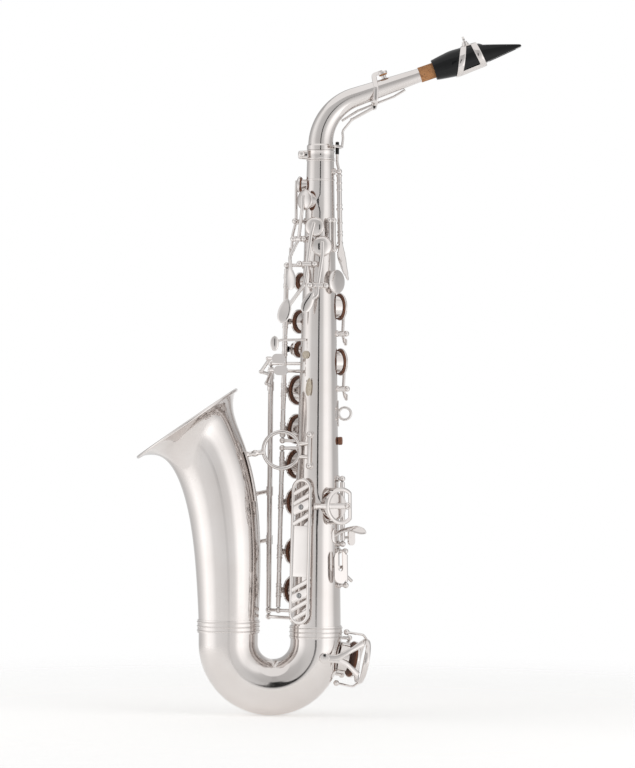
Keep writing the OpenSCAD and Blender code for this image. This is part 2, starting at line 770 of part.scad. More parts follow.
module rocker(hole, lever, touch_r, with_pad) {
    face = pad_face(small_hole_rise);
    hinge = [rocker_out, lever[1], -lever[0]];
    end = lever[4];
    back = face + cup_back + 1;
    color(silver) from_strap() on_tube(hole[0], along(hole[1])) {
        difference() {
            union() {
                translate([face, 0, 0]) cup(hole[2]);
                strut([[back, 0, hole[2] * 0.4], [back, lever[2], -hole[2]], hinge, lever[3], end], arm_r, upright = true);
                translate(hinge - [0, rocker_half, 0]) rotate([-90, 0, 0]) cylinder(h = 2 * rocker_half, r = hinge_r);
                translate(end) rotate([0, 90, 0]) cylinder(h = 1.4, r1 = touch_r * 0.8, r2 = touch_r);
                translate(end + [1.4, 0, 0]) rotate([0, 90, 0]) cylinder(h = 1, r1 = touch_r, r2 = touch_r * 0.8);
            }
            translate(hinge - [0, rocker_half + 1, 0]) rotate([-90, 0, 0])
                cylinder(h = 2 * rocker_half + 2, r = rod_r + run_gap);
        }
        if (with_pad)
            translate([face, 0, 0]) pad(hole[2]);
    }
}

module side_pad(hole) {
    color(leather) from_strap() on_tube(hole[0], along(hole[1])) translate([pad_face(small_hole_rise), 0, 0]) pad(hole[2]);
}

// Octave lever: claw at the thumb rest, long hinge tube and the pin beside the neck

octave_turn = -11;
octave_out = 5.2;
octave_low_z = along(0.815);
octave_high_z = along(0.975);
octave_pin_turn = 21;
octave_pin_r = 1.8;

function octave_point(out, side, z) = tube_point(octave_turn, z, octave_out + out, side);

module octave_lever() {
    a = octave_point(0, 0, octave_low_z + post_clear);
    b = octave_point(0, 0, octave_high_z - post_clear);
    pin_reach = octave_loop_r - octave_loop_stock - octave_pin_r - pad_gap;
    pin = [pin_reach * cos(octave_pin_turn), pin_reach * sin(octave_pin_turn), collar_low_z - 4];
    color(silver) from_strap() difference() {
        union() {
            bar(a, b, hinge_r);
            strut([b - [0, 0, 3], b + [1, 6, 0], pin - [0, 0, 8], pin], 1.3);
            bar(pin, pin + [0, 0, 12], octave_pin_r);
            strut([
                a + [0, 0, 4],
                octave_point(7, -4, octave_low_z + 3),
                octave_point(11, -9, octave_low_z - 12),
                octave_point(12.5, -14, octave_low_z - 23),
                octave_point(11, -19, octave_low_z - 30)
            ], 1.8);
        }
        bar(octave_point(0, 0, octave_low_z - 5), octave_point(0, 0, octave_high_z + 5), rod_r + run_gap);
    }
}

thumb_turn = 320;
thumb_z = along(0.741);
thumb_out = 6;

module thumb_rest() {
    color(silver) from_strap() off_tube() on_tube(thumb_turn, thumb_z) rotate([0, 90, 0]) {
        translate([0, 0, -2]) cylinder(h = thumb_out + 2, r = 5);
        translate([0, 0, thumb_out - 1]) cylinder(h = 2.2, r = thumb_rest_r);
        translate([0, 0, thumb_out + 1.2]) cylinder(h = 1.2, r1 = thumb_rest_r, r2 = thumb_rest_r * 0.6);
    }
}

// E flat key with its little-finger touch, closed at rest

e_flat_out = 0.5;
e_flat_side = 14.5;
e_flat_high = along(e_flat_hole[1]) + 27;
e_flat_low = along(e_flat_hole[1]) - 38;

module e_flat_key() {
    z = along(e_flat_hole[1]);
    r = e_flat_hole[2];
    arm_x = pad_face(small_hole_rise) + cup_back - 0.4;
    high = (e_flat_high - post_clear - z) / cos(taper);
    low = (e_flat_low + post_clear - z) / cos(taper);
    color(silver) from_strap() on_tube(e_flat_hole[0], z) difference() {
        union() {
            translate([pad_face(small_hole_rise), 0, 0]) cup(r);
            translate([arm_x, 0, 0]) rotate([90, 0, 90]) linear_extrude(2.4)
                polygon([[-r * 0.5, -1.6], [-r * 0.5, 1.6], [e_flat_side + 1.5, 2.6], [e_flat_side + 1.5, -2.6]]);
            bar([e_flat_out, e_flat_side, 0], [arm_x + 1.2, e_flat_side, 0], 1.5);
            translate([e_flat_out, e_flat_side, low]) cylinder(h = high - low, r = hinge_r);
            bar([e_flat_out, e_flat_side, low + 3], [e_flat_out + 5, e_flat_side + 6, low + 3], arm_r);
            translate([e_flat_out + 4, e_flat_side + 7, low + 3]) stadium(16, 8, 2.2);
        }
        translate([e_flat_out, e_flat_side, low - 1]) cylinder(h = high - low + 2, r = rod_r + run_gap);
    }
}

module e_flat_pad() {
    color(leather) from_strap() on_tube(e_flat_hole[0], along(e_flat_hole[1]))
        translate([pad_face(small_hole_rise), 0, 0]) pad(e_flat_hole[2]);
}

// Low C key on the bow, open at rest, with its own touch beside the tube

low_c_out = 10;
low_c_side = 23.5;
low_c_half = 19;

module low_c_frame() {
    from_strap() on_bow(low_c_bend, low_c_roll) children();
}

module low_c_key() {
    face = pad_face(hole_rise);
    arm_x = face + cup_back - 0.4;
    color(silver) low_c_frame() swung(low_c_out, low_c_side, low_open) difference() {
        union() {
            translate([face, 0, 0]) cup(low_c_pad_r);
            for (s = [-1, 1])
                translate([arm_x, 0, 0]) rotate([90, 0, 90]) linear_extrude(2.4)
                    polygon([[-low_c_pad_r * 0.4, -1.5], [-low_c_pad_r * 0.4, 1.5], [low_c_side, s * 10 + 2], [low_c_side, s * 10 - 2]]);
            translate([low_c_out, low_c_side, -low_c_half + post_clear])
                cylinder(h = 2 * (low_c_half - post_clear), r = hinge_r);
        }
        translate([low_c_out, low_c_side, -low_c_half]) cylinder(h = 2 * low_c_half, r = rod_r + run_gap);
    }
}

module low_c_pad() {
    color(leather) low_c_frame() swung(low_c_out, low_c_side, low_open)
        translate([pad_face(hole_rise), 0, 0]) pad(low_c_pad_r);
}

low_c_touch_turn = 341;
low_c_touch_out = 7;
low_c_touch_high = along(0.172);
low_c_touch_low = along(0.1);
// Middle of the forked touch beside its hinge: outwards, sideways, up; and its turn towards the viewer
low_c_plate_z = 18.4;
low_c_plate = [4.5, -11, low_c_plate_z];
low_c_plate_yaw = 41;

module low_c_touch() {
    span = (low_c_touch_high - low_c_touch_low) / cos(taper);
    color(silver) from_strap() on_tube(low_c_touch_turn, low_c_touch_low) difference() {
        union() {
            translate([low_c_touch_out, 0, post_clear]) cylinder(h = span - 2 * post_clear, r = hinge_r);
            bar([low_c_touch_out, 0, low_c_plate_z], low_c_plate, arm_r);
            translate(low_c_plate) rotate([0, 0, -low_c_plate_yaw]) difference() {
                stadium(32, 14, 2.2);
                translate([-1, 0, 9]) stadium(26, 5.5, 5);
            }
            strut([[low_c_touch_out, 0, 10], [low_c_touch_out + 3, 9, 4]], arm_r);
        }
        translate([low_c_touch_out, 0, 0]) cylinder(h = span, r = rod_r + run_gap);
    }
}

// Low B and B flat keys on the far side of the bell, open at rest, on two long rods

bell_rod_x = -48;
bell_rod_sides = [43, 30];
bell_rod_low = [along(0.026), along(0.042)];
bell_rod_high = [along(0.568), along(0.552)];
bell_touch_z = [along(0.578), along(0.553)];
// Middle of the little-finger touches when pressed
bell_touch_x = -31;
bell_touch_side = -10.5;
bell_knee_x = -43;
// Fullness of the balls at the bends of the bell keys' arms
bell_knee = 1.3;
// Height of the sleeves that hold the two arms on the hinge tube
arm_sleeve = 9;
// From the middle of a bell cup's back to the end of its arm, inside the hub
bell_hub = [-1, 0.6, 0];

function bell_rod_point(k, z) = [bell_rod_x, bell_rod_sides[k], z];

// Turns children round one upright bell-key rod
module bell_swung(k, angle) {
    p = bell_rod_point(k, 0);
    translate(p) rotate([0, 0, angle]) translate(-p) children();
}

// Middle of a closed bell cup's back
function bell_cup_back(k) =
    let (s = bell_holes[k][0])
    bell_middle(s) + [0, bell_r(s) + pad_face(hole_rise) + cup_back + 0.8, 0];

module bell_key(k) {
    s = bell_holes[k][0];
    face = pad_face(hole_rise);
    centre = bell_cup_back(k);
    low = bell_rod_point(k, bell_rod_low[k] + post_clear);
    high = bell_rod_point(k, bell_rod_high[k] - post_clear);
    arm = bell_rod_point(k, centre.z + 12);
    touch = [bell_touch_x, bell_touch_side, bell_touch_z[k]];
    lever_z = high.z - [8, 12][k];
    color(silver) from_strap() bell_swung(k, -low_open) {
        difference() {
            union() {
                on_bell(s) translate([face, 0, 0]) cup(bell_holes[k][1]);
                strut([
                    arm,
                    arm + [-14, 4, -3],
                    [arm.x - 25, centre.y + 0.5, centre.z + 5],
                    centre + bell_hub
                ], arm_r + 0.3, bell_knee);
                on_bell(s) translate([face + cup_back, 0, 0]) rotate([0, 90, 0]) cylinder(h = 2.6, r = 5.5);
                bar(low, high, hinge_r + 0.2);
                for (z = [arm.z, lever_z])
                    translate(bell_rod_point(k, z - arm_sleeve / 2)) cylinder(h = arm_sleeve, r = hinge_r + 1);
                strut([
                    [high.x, high.y, lever_z],
                    [high.x - 8 + 6 * k, high.y - 13, lever_z + 3],
                    [bell_knee_x, 6, touch.z],
                    [bell_knee_x, -5, touch.z],
                    touch - [3, 0, 0]
                ], arm_r, bell_knee);
                translate(touch + [0, 1, 0]) rotate([0, 0, -90]) rotate([90, 0, 0]) stadium(14, 9.5, 2.4);
            }
            bar(low - [0, 0, 5], high + [0, 0, 5], rod_r + run_gap);
        }
        on_bell(s) translate([face, 0, 0]) pad(bell_holes[k][1]);
    }
}

// Hinge rods, and the posts that hold them

function rocker_rod(hole, lever) =
    let (z = along(hole[1]))
    [for (s = [-1, 1]) tube_point(hole[0], z, rocker_out, lever[1] + s * rocker_post, -lever[0])];
function slope_rod(turn, out, side, low, high) =
    [tube_point(turn, low, out, side), tube_point(turn, high, out, side)];

rocker_rods = concat(
    [rocker_rod(front_hole, front_lever)],
    [for (k = [0:2]) rocker_rod(palm_holes[k], palm_levers[k])],
    [for (hole = side_holes) rocker_rod(hole, side_lever)]
);
tube_rods = concat(rocker_rods, [
    slope_rod(stack_turn, stack_out, stack_side, upper_rod_low, upper_rod_high),
    slope_rod(stack_turn, stack_out, stack_side, lower_rod_low, lower_rod_high),
    [octave_point(0, 0, octave_low_z), octave_point(0, 0, octave_high_z)],
    slope_rod(e_flat_hole[0], e_flat_out, e_flat_side, e_flat_low, e_flat_high),
    slope_rod(low_c_touch_turn, low_c_touch_out, 0, low_c_touch_low, low_c_touch_high)
]);
bell_rods = [for (k = [0, 1]) [bell_rod_point(k, bell_rod_low[k]), bell_rod_point(k, bell_rod_high[k])]];

module rod(ends, grow = 0) {
    d = (ends[1] - ends[0]) / norm(ends[1] - ends[0]) * (rod_end + grow);
    bar(ends[0] - d, ends[1] + d, rod_r + grow);
}

module low_c_rod(grow = 0) {
    half = low_c_half + rod_end + grow;
    on_bow(low_c_bend, low_c_roll) translate([low_c_out, low_c_side, -half])
        cylinder(h = 2 * half, r = rod_r + grow);
}

module hinge_rods() {
    color(steel) from_strap() {
        for (ends = concat(tube_rods, bell_rods))
            rod(ends);
        low_c_rod();
    }
}

// A post from the tube out to the end of a rod, whose direction is given
module post(p, rod_line) {
    z = p.z;
    flat = [p.x, p.y, 0] / norm([p.x, p.y]);
    root = flat * (tube_r(z) - 1) + [0, 0, z];
    translate(p) facing(rod_line, -flat) sphere(ball_r);
    bar(root, p, stem_r);
    bar(root, flat * (tube_r(z) + 1.3) + [0, 0, z], stem_r + 1.6);
}

module hinge_posts() {
    color(silver) from_strap() {
        off_tube() difference() {
            union() {
                for (ends = concat(tube_rods, bell_rods))
                    for (p = ends)
                        post(p, ends[1] - ends[0]);
            }
            for (ends = concat(tube_rods, bell_rods))
                rod(ends, seat_gap);
        }
        difference() {
            on_bow(low_c_bend, low_c_roll) for (s = [-1, 1]) {
                translate([low_c_out, low_c_side, s * low_c_half]) sphere(ball_r);
                bar([low_c_out, low_c_side, s * low_c_half], [-16, 4, s * low_c_half * 0.9], stem_r);
            }
            bow_torus(0.3);
            low_c_rod(seat_gap);
        }
    }
}

// Bell brace: ring with a turned stem to the bell and a two-bolt bracket on the tube

brace_share = 0.385;
brace_front = -15;
brace_bolt_turn = 249;
brace_bolt_half = 15.5;

module bell_brace() {
    z = along(brace_share);
    bolts = [for (s = [-1, 1]) tube_point(brace_bolt_turn, z + s * brace_bolt_half, 3.4)];
    centre = [-tube_r(z) - brace_ring_r + 3, brace_front, z];
    foot_turn = -24;
    foot_s = 162;
    foot_off = 2 + pad_gap;
    stem = centre - [brace_ring_r, 0, 2];
    foot = bell_point(foot_s, foot_turn, foot_off);
    color(silver) from_strap() off_tube() {
        translate(centre) rotate([90, 0, 0]) rotate_extrude($fn = 72)
            translate([brace_ring_r, 0]) circle(brace_stock_r, $fn = 24);
        strut([bolts[0], (bolts[0] + bolts[1]) / 2, bolts[1]], 1.8);
        for (b = bolts) {
            translate(b) sphere(ball_r);
            bar(tube_point(brace_bolt_turn, b.z, -1), tube_point(brace_bolt_turn, b.z, 1.6), ball_r + 0.8);
        }
        for (s = [-1, 1])
            bar(centre + brace_ring_r * [cos(20), 0, s * sin(20)], (bolts[0] + bolts[1]) / 2 + [0, 0, s * 7], 1.7);
        strut([for (u = [0, 0.3, 0.7, 1]) stem + u * (foot - stem)], 2.1, 1.55);
        strut([for (k = [0:3]) bell_point(foot_s - k * 13, foot_turn, foot_off)], 2);
    }
}

// Strap ring on its saddle

module strap_ring() {
    half = strap_stock * 0.6;
    color(silver) from_strap() {
        off_tube() translate([strap_x, 0, strap_z]) rotate([90, 0, 0]) rotate_extrude($fn = 72) polygon([
            [strap_hole_r, -half], [strap_hole_r + strap_stock * 0.6, -half], [strap_hole_r + strap_stock, -half * 0.5],
            [strap_hole_r + strap_stock, half * 0.5], [strap_hole_r + strap_stock * 0.6, half], [strap_hole_r, half]
        ]);
        saddle(0, strap_z, 26, 10);
    }
}

// Thumb hook: saddle, stem and a curved spoon

hook_turn = 322;
hook_share = 0.205;
hook_yaw = 18;
hook_reach = 33;

module thumb_hook() {
    z = along(hook_share);
    color(silver) from_strap() {
        saddle(hook_turn, z, 15, 9, 1.6);
        off_tube() on_tube(hook_turn, z) rotate([0, 0, hook_yaw]) difference() {
            rotate([90, 0, 0]) translate([0, 0, -5]) linear_extrude(10) polygon(concat(
                [for (k = [0:6]) let (u = k / 6) [hook_reach * u - 1, 2 + 6 * sin(160 * u)]],
                [for (k = [6:-1:0]) let (u = k / 6) [hook_reach * u - 1, -0.6 + 6 * sin(160 * u)]]
            ));
            for (s = [-1, 1])
                translate([8, s * 8.5, 0]) rotate([0, 0, -s * 12]) translate([-20, -5, -20]) cube([24, 10, 40]);
        }
    }
}

// Guard plate over the lower stack, on two feet with screws

guard_turn = 237;
guard_share = 0.172;
guard_thick = 1.5;
guard_foot = 44;
guard_screw_r = 1.3;

module guard_plate() {
    z = along(guard_share);
    slot_w = 3;
    color(silver) from_strap() {
        off_tube() on_tube(guard_turn, z) difference() {
            union() {
                translate([guard_height, 0, 0]) stadium(guard_length, guard_width, guard_thick);
                for (s = [-1, 1])
                    translate([-1, 0, s * guard_foot]) rotate([0, 90, 0]) cylinder(h = guard_height + 1.5, r = 3.4);
            }
            for (s = [-1, 1]) {
                translate([-2, 0, s * guard_foot]) rotate([0, 90, 0])
                    cylinder(h = guard_height + 10, r = guard_screw_r + run_gap);
                for (k = [-1, 1])
                    translate([guard_height - 1, k * guard_width * 0.3, s * guard_foot])
                        stadium(44, slot_w, guard_thick + 2);
            }
        }
    }
}

module guard_screws() {
    color(steel) from_strap() on_tube(guard_turn, along(guard_share)) for (s = [-1, 1])
        translate([0, 0, s * guard_foot]) rotate([0, 90, 0]) difference() {
            union() {
                translate([0, 0, 1]) cylinder(h = guard_height + guard_thick, r = guard_screw_r);
                translate([0, 0, guard_height + guard_thick]) cylinder(h = 1.4, r1 = 2.8, r2 = 2.2);
            }
            translate([-4, -0.4, guard_height + guard_thick + 0.8]) cube([8, 0.8, 2]);
        }
}

// Guards: cages over the low C, E flat and bell-key cups

cage_band = 3.6;
cage_thick = 1.8;

module cage_ring(out, r) {
    translate([out, 0, 0]) rotate([0, 90, 0]) rotate_extrude($fn = 64)
        translate([r - cage_band / 2, 0]) square([cage_band, cage_thick]);
}

// A disc with one straight side
module d_form(r) {
    flat = 0.7 * r;
    intersection() {
        circle(r, $fn = 72);
        translate([-r, -r]) square([r + flat, 2 * r]);
    }
}

// Turns of the legs of the two bell cages
bell_cage_legs = [[40, 100, 160], [20, 80, 140]];

module key_guards() {
    low_c_top = 24;
    low_c_r = 22;
    e_flat_top = 16;
    e_flat_r = 18.5;
    leg_r = e_flat_r - cage_band / 2;
    bell_top = 23;
    color(silver) from_strap() {
        difference() {
            union() {
                on_bow(low_c_bend, low_c_roll) {
                    cage_ring(low_c_top, low_c_r);
                    bar([low_c_top + 0.9, 0, -low_c_r], [low_c_top + 0.9, 0, low_c_r], 1.4);
                    bar([low_c_top + 0.9, -low_c_r, 0], [-14, -low_c_r - 1, -6], 1.6);
                }
                on_bow(low_c_bend, low_c_roll) for (s = [-1, 1])
                    strut([[low_c_top + 0.9, 0, s * low_c_r], [low_c_top - 6, -2, s * (low_c_r + 5)],
                           [-6, -4, s * (low_c_r + 4)]], 1.7);
            }
            bow_torus(0.3);
            tube_cone(ferrule_wall + 1.2);
        }
        off_tube() on_tube(e_flat_hole[0], along(e_flat_hole[1])) {
            translate([e_flat_top, 0, 0]) rotate([90, 0, 90]) linear_extrude(cage_thick) difference() {
                d_form(e_flat_r);
                difference() {
                    d_form(e_flat_r - cage_band);
                    square([2 * e_flat_r, cage_band], center = true);
                    square([cage_band - 0.6, 2 * e_flat_r], center = true);
                }
            }
            translate([e_flat_top - 1, e_flat_r * 0.4, 0]) rotate([0, 90, 0]) cylinder(h = cage_thick + 2.4, r = 3.5);
            bar([e_flat_top + 0.8, -leg_r, 0], [-12, -leg_r - 2.5, 0], 1.6);
            for (s = [-1, 1])
                bar([e_flat_top + 0.8, 0, s * leg_r], [-2, 0, s * leg_r], 1.6);
        }
        for (k = [0, 1])
            let (hole = bell_holes[k])
            difference() {
                on_bell(hole[0]) {
                    cage_ring(bell_top, hole[1] - 1);
                    bar([bell_top + 0.9, 0, -hole[1] + 1], [bell_top + 0.9, 0, hole[1] - 1], 1.5);
                    for (a = bell_cage_legs[k])
                        strut([[bell_top + 0.9, (hole[1] - 1) * sin(a), (hole[1] - 1) * cos(a)],
                               [bell_top - 5, (hole[1] + 4) * sin(a), (hole[1] + 4) * cos(a)],
                               [-12, (hole[1] + 3.4) * sin(a), (hole[1] + 3.4) * cos(a)]], 1.5);
                }
                bell_cone(hole[0], hole[1] + 8, 0.35);
            }
    }
}

module front_key() {
    rocker(front_hole, front_lever, 5, true);
}

module palm_key(k) {
    rocker(palm_holes[k], palm_levers[k], 6.5, true);
}

module side_key(k) {
    rocker(side_holes[k], side_lever, 3, false);
}

module low_b_key() {
    bell_key(0);
}

module low_b_flat_key() {
    bell_key(1);
}

body_tube();
bow();
bell();
bow_ferrules();
bell_tone_holes();
neck_receiver();
neck_screw();
neck_tube();
neck_tenon();
neck_fittings();
neck_cork();
neck_octave_key();
neck_octave_pad();
mouthpiece();
ligature();
ligature_screw();
octave_lever();
bell_brace();
strap_ring();
thumb_hook();
thumb_rest();
guard_plate();
guard_screws();
hinge_posts();
hinge_rods();
key_guards();
front_key();
palm_key(0);  // palm_key_1
palm_key(1);  // palm_key_2
palm_key(2);  // palm_key_3
for (i = [0:stack_count - 1]) {
    stack_key(i);
    stack_pad(i);
}
side_key(0);  // side_key_1
side_key(1);  // side_key_2
side_pad(side_holes[0]);  // side_pad_1
side_pad(side_holes[1]);  // side_pad_2
e_flat_key();
e_flat_pad();
low_c_key();
low_c_pad();
low_c_touch();
low_b_key();
low_b_flat_key();
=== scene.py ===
"""Looks of a silver-plated alto saxophone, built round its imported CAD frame.

Lengths are metres in the CAD frame: the tube stands along +Z, the bell points to -X and the mouthpiece to +X.
Small parts are written in millimetres, which MM, carried() and spot() take to metres.
"""

import json
import math

import bmesh
import bpy
import numpy as np
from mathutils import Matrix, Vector


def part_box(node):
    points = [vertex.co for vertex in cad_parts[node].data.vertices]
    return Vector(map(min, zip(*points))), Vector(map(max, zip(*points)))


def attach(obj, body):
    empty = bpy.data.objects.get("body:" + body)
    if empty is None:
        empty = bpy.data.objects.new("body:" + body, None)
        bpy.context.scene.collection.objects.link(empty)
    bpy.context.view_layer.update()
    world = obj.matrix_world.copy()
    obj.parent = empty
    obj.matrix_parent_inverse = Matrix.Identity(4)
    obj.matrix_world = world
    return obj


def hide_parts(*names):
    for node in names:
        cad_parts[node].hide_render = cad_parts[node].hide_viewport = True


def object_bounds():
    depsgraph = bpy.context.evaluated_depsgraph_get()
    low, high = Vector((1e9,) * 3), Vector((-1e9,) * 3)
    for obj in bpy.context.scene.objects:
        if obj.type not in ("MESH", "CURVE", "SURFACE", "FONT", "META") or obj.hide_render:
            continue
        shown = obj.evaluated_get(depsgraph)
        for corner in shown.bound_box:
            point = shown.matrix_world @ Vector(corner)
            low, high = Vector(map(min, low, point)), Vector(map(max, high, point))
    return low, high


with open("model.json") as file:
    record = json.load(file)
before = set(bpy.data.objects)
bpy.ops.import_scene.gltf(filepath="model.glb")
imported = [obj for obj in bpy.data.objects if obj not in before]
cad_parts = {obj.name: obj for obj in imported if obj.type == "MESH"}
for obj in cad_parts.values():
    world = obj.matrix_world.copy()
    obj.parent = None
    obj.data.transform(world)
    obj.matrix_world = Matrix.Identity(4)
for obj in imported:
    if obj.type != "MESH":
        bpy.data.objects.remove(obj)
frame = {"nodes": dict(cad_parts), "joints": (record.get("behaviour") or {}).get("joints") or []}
CAD_BOX = [list(corner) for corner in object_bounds()]

bl_info = {
    "name": "Alto saxophone looks",
    "version": (1, 0, 0),
    "blender": (4, 5, 0),
    "location": "View3D > Sidebar > Saxophone",
    "description": "Builds the shells, pads, touches, finishes and studio of an alto saxophone",
    "category": "Object",
}

MM = 0.001
# Height of the picture in pixels, each of which shows a millimetre of the saxophone
PICTURE_HEIGHT = 768


# Places read from the frame

def middle(node):
    """Centre of a CAD node's box."""
    low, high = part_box(node)
    return np.array((low + high) / 2)


AXIS_X = float(middle("neck_tenon")[0])
FLOOR_Z = CAD_BOX[0][2]
TUBE_LOW_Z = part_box("body_tube")[0].z
TUBE_TOP_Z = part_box("body_tube")[1].z
COLLAR_TOP_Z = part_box("neck_tenon")[1].z
# Drop from the foot of the body tube to the bow's lowest point
BOW_DROP = 84.173 * MM
BOW_LOW_Z = TUBE_LOW_Z - BOW_DROP


# Sizes and colours that a user may change

def length(name, default_mm, description):
    """A length property whose default is written in millimetres."""
    return bpy.props.FloatProperty(
        name=name, default=default_mm * MM, description=description, unit="LENGTH", subtype="DISTANCE",
        precision=5, min=0.0)


def angle(name, default_deg, description):
    """An angle property whose default is written in degrees."""
    return bpy.props.FloatProperty(
        name=name, default=math.radians(default_deg), description=description, unit="ROTATION", subtype="ANGLE")


def colour(name, default_hex, description):
    """A colour written as an sRGB hex value."""
    return bpy.props.StringProperty(name=name, default=default_hex, description=description)


class SaxBodySizes(bpy.types.PropertyGroup):
    """Sizes of the body tube, the bow and the bell."""
    tube_low_r: length("Tube radius at the bow", 25.1, "Outer radius of the body tube where it meets the bow")
    tube_top_r: length("Tube radius at the top", 13.5, "Outer radius of the body tube under the neck receiver")
    wall: length("Wall", 1, "Thickness of the sheet metal")
    bow_bend_r: length("Bow bend", 43.75, "Radius of the bow's bend at the middle of its tube")
    bow_leg: length("Bow leg", 12, "Straight leg of the bow below the body tube")
    bell_leg: length("Bell leg", 17, "Straight leg of the bow below the bell")
    bell_low_r: length("Bell radius at the bow", 29.8, "Outer radius of the bell where it leaves the bow")
    bell_length: length("Bell length", 211.5, "Length of the bell along its middle line")
    bell_throat_r: length("Bell throat", 39.1, "Radius to which the bell's cone alone would grow")
    bell_rim_r: length("Bell rim", 61, "Outer radius of the rim")
    bell_flare: length("Bell flare", 10, "Distance over which the flare fades")
    bell_tilt: angle("Bell lean", 35, "Lean of the rim")
    bell_tilt_reach: length("Lean reach", 75.5, "Distance over which the lean fades")
    rim_bead_r: length("Rim bead", 1.6, "Radius of the rolled bead on the rim")


class SaxNeckSizes(bpy.types.PropertyGroup):
    """Sizes of the neck, its cork and the mouthpiece."""
    bend_r: length("Neck bend", 50, "Radius of the neck's bend")
    rise: angle("Neck rise", 19.5, "Slope of the neck's straight end above level")
    straight: length("Neck straight", 69, "Straight stretch of the neck up to the cork")
    low_r: length("Neck radius at the collar", 12.5, "Outer radius of the neck above its collar")
    end_r: length("Neck radius at the cork", 6.9, "Outer radius of the neck under the cork")
    cork_length: length("Cork length", 42, "Length of the cork sleeve")
    cork_bare: length("Bare cork", 15, "Cork left bare between neck and mouthpiece")


class SaxColours(bpy.types.PropertyGroup):
    """Colours of the finishes, as sRGB hex values."""
    silver: colour("Silver", "#E6E2E0", "Bright silver plate")
    silver_warm: colour("Silver, toned", "#D9D2CE", "Silver plate where the air has toned it a little")
    steel: colour("Steel", "#A9A8A8", "Turned hinge steel")
    steel_dark: colour("Steel, shaded", "#8F8E8E", "Turned hinge steel between its rings")
    leather: colour("Leather", "#8E5A3E", "Brown kid leather of the pads")
    leather_dark: colour("Leather, shaded", "#6A4029", "Darker clouds in the leather")
    cork: colour("Cork", "#C48E5E", "Sanded cork")
    cork_grain: colour("Cork, grain", "#AF7645", "Edges of the cork's grains")
    cork_pit: colour("Cork, pits", "#6A3D20", "Pits in the cork")
    ebonite: colour("Ebonite", "#131416", "Polished black hard rubber")
    ebonite_deep: colour("Ebonite, deep", "#0B0C0D", "Darker clouds in the hard rubber")
    pearl: colour("Pearl", "#DCD2C2", "Pale bands of mother-of-pearl")
    pearl_dark: colour("Pearl, shaded", "#A8977E", "Darker bands of mother-of-pearl")
    paper: colour("Paper", "#F4F3F1", "Matt white paper of the floor")


class SaxStudio(bpy.types.PropertyGroup):
    """Camera and light."""
    distance: length("Camera distance", 4000, "From the camera to the middle plane of the saxophone")
    roll: angle("Camera roll", 0.559, "Roll of the photograph about its line of sight")
    lamp: bpy.props.FloatProperty(
        name="Lamp level", default=1.25, description="Brightness of the two lamp panels")


def sizes(group):
    """One of this file's property groups on the scene."""
    return getattr(bpy.context.scene, group)


# Materials

def linear(code):
    """sRGB hex value to linear RGBA."""
    srgb = np.array([int(code[i:i + 2], 16) for i in (1, 3, 5)]) / 255
    value = np.where(srgb <= 0.04045, srgb / 12.92, ((srgb + 0.055) / 1.055) ** 2.4)
    return (*value.tolist(), 1.0)


def per(size_mm):
    """Texture scale at which one feature of a pattern is this many millimetres wide."""
    return 1 / (size_mm * MM)


def connect(tree, node, values=None, links=None):
    """Sets a node's input values, and links its inputs to other sockets."""
    for name, value in (values or {}).items():
        node.inputs[name].default_value = value
    for name, source in (links or {}).items():
        tree.links.new(source, node.inputs[name])


def add(tree, kind, settings=None, values=None, links=None):
    """Adds a node with its options, input values and links."""
    node = tree.nodes.new(kind)
    for name, value in (settings or {}).items():
        setattr(node, name, value)
    connect(tree, node, values, links)
    return node


def new_material(name):
    """A node material: its tree, a shader linked to its output, and the piece's own coordinates."""
    material = bpy.data.materials.new(name)
    material.use_nodes = True
    tree = material.node_tree
    tree.nodes.clear()
    shader = add(tree, "ShaderNodeBsdfPrincipled")
    add(tree, "ShaderNodeOutputMaterial", links={"Surface": shader.outputs["BSDF"]})
    place = add(tree, "ShaderNodeTexCoord").outputs["Object"]
    return material, tree, shader, place


def noise(tree, place, size_mm, detail, more=None):
    """Clouds of noise this many millimetres wide."""
    values = {"Scale": per(size_mm), "Detail": detail, **(more or {})}
    return add(tree, "ShaderNodeTexNoise", values=values, links={"Vector": place}).outputs["Fac"]


def cells(tree, place, size_mm):
    """Cells this many millimetres wide, as the distance from their middles."""
    node = add(tree, "ShaderNodeTexVoronoi", values={"Scale": per(size_mm)}, links={"Vector": place})
    return node.outputs["Distance"]


def blend(tree, low, high, share):
    """A mix of two colours by a share: a hex value or a socket, and a hex value."""
    mix = add(tree, "ShaderNodeMix", {"data_type": "RGBA"}, {7: linear(high)}, {0: share})
    if isinstance(low, str):
        mix.inputs[6].default_value = linear(low)
    else:
        tree.links.new(low, mix.inputs[6])
    return mix.outputs[2]


def graded(tree, low, high, share):
    """A level that runs from low to high by a share."""
    values = {"To Min": low, "To Max": high}
    return add(tree, "ShaderNodeMapRange", values=values, links={"Value": share}).outputs["Result"]


def bump(tree, depth_mm, strength, height, invert=False):
    """A normal bumped by a height, which 1 takes this many millimetres out, or in."""
    values = {"Strength": strength, "Distance": depth_mm * MM}
    return add(tree, "ShaderNodeBump", {"invert": invert}, values, {"Height": height}).outputs["Normal"]


def silver_plate():
    """Silver plate on brass, buffed: mirror-bright with soft buffing waves and a faint warm tone."""
    colours = sizes("sax_colours")
    material, tree, shader, place = new_material("silver_plate_buffed")
    tone = noise(tree, place, 38, 3.0)
    # Haze left by the polish, drawn as coarse as this so that it shows
    haze = noise(tree, place, 4, 4.0)
    waves = noise(tree, place, 16, 1.0)
    connect(tree, shader, {"Metallic": 1.0}, {
        "Base Color": blend(tree, colours.silver_warm, colours.silver, tone),
        "Roughness": graded(tree, 0.045, 0.13, haze),
        "Normal": bump(tree, 0.08, 0.35, waves),
    })
    return material


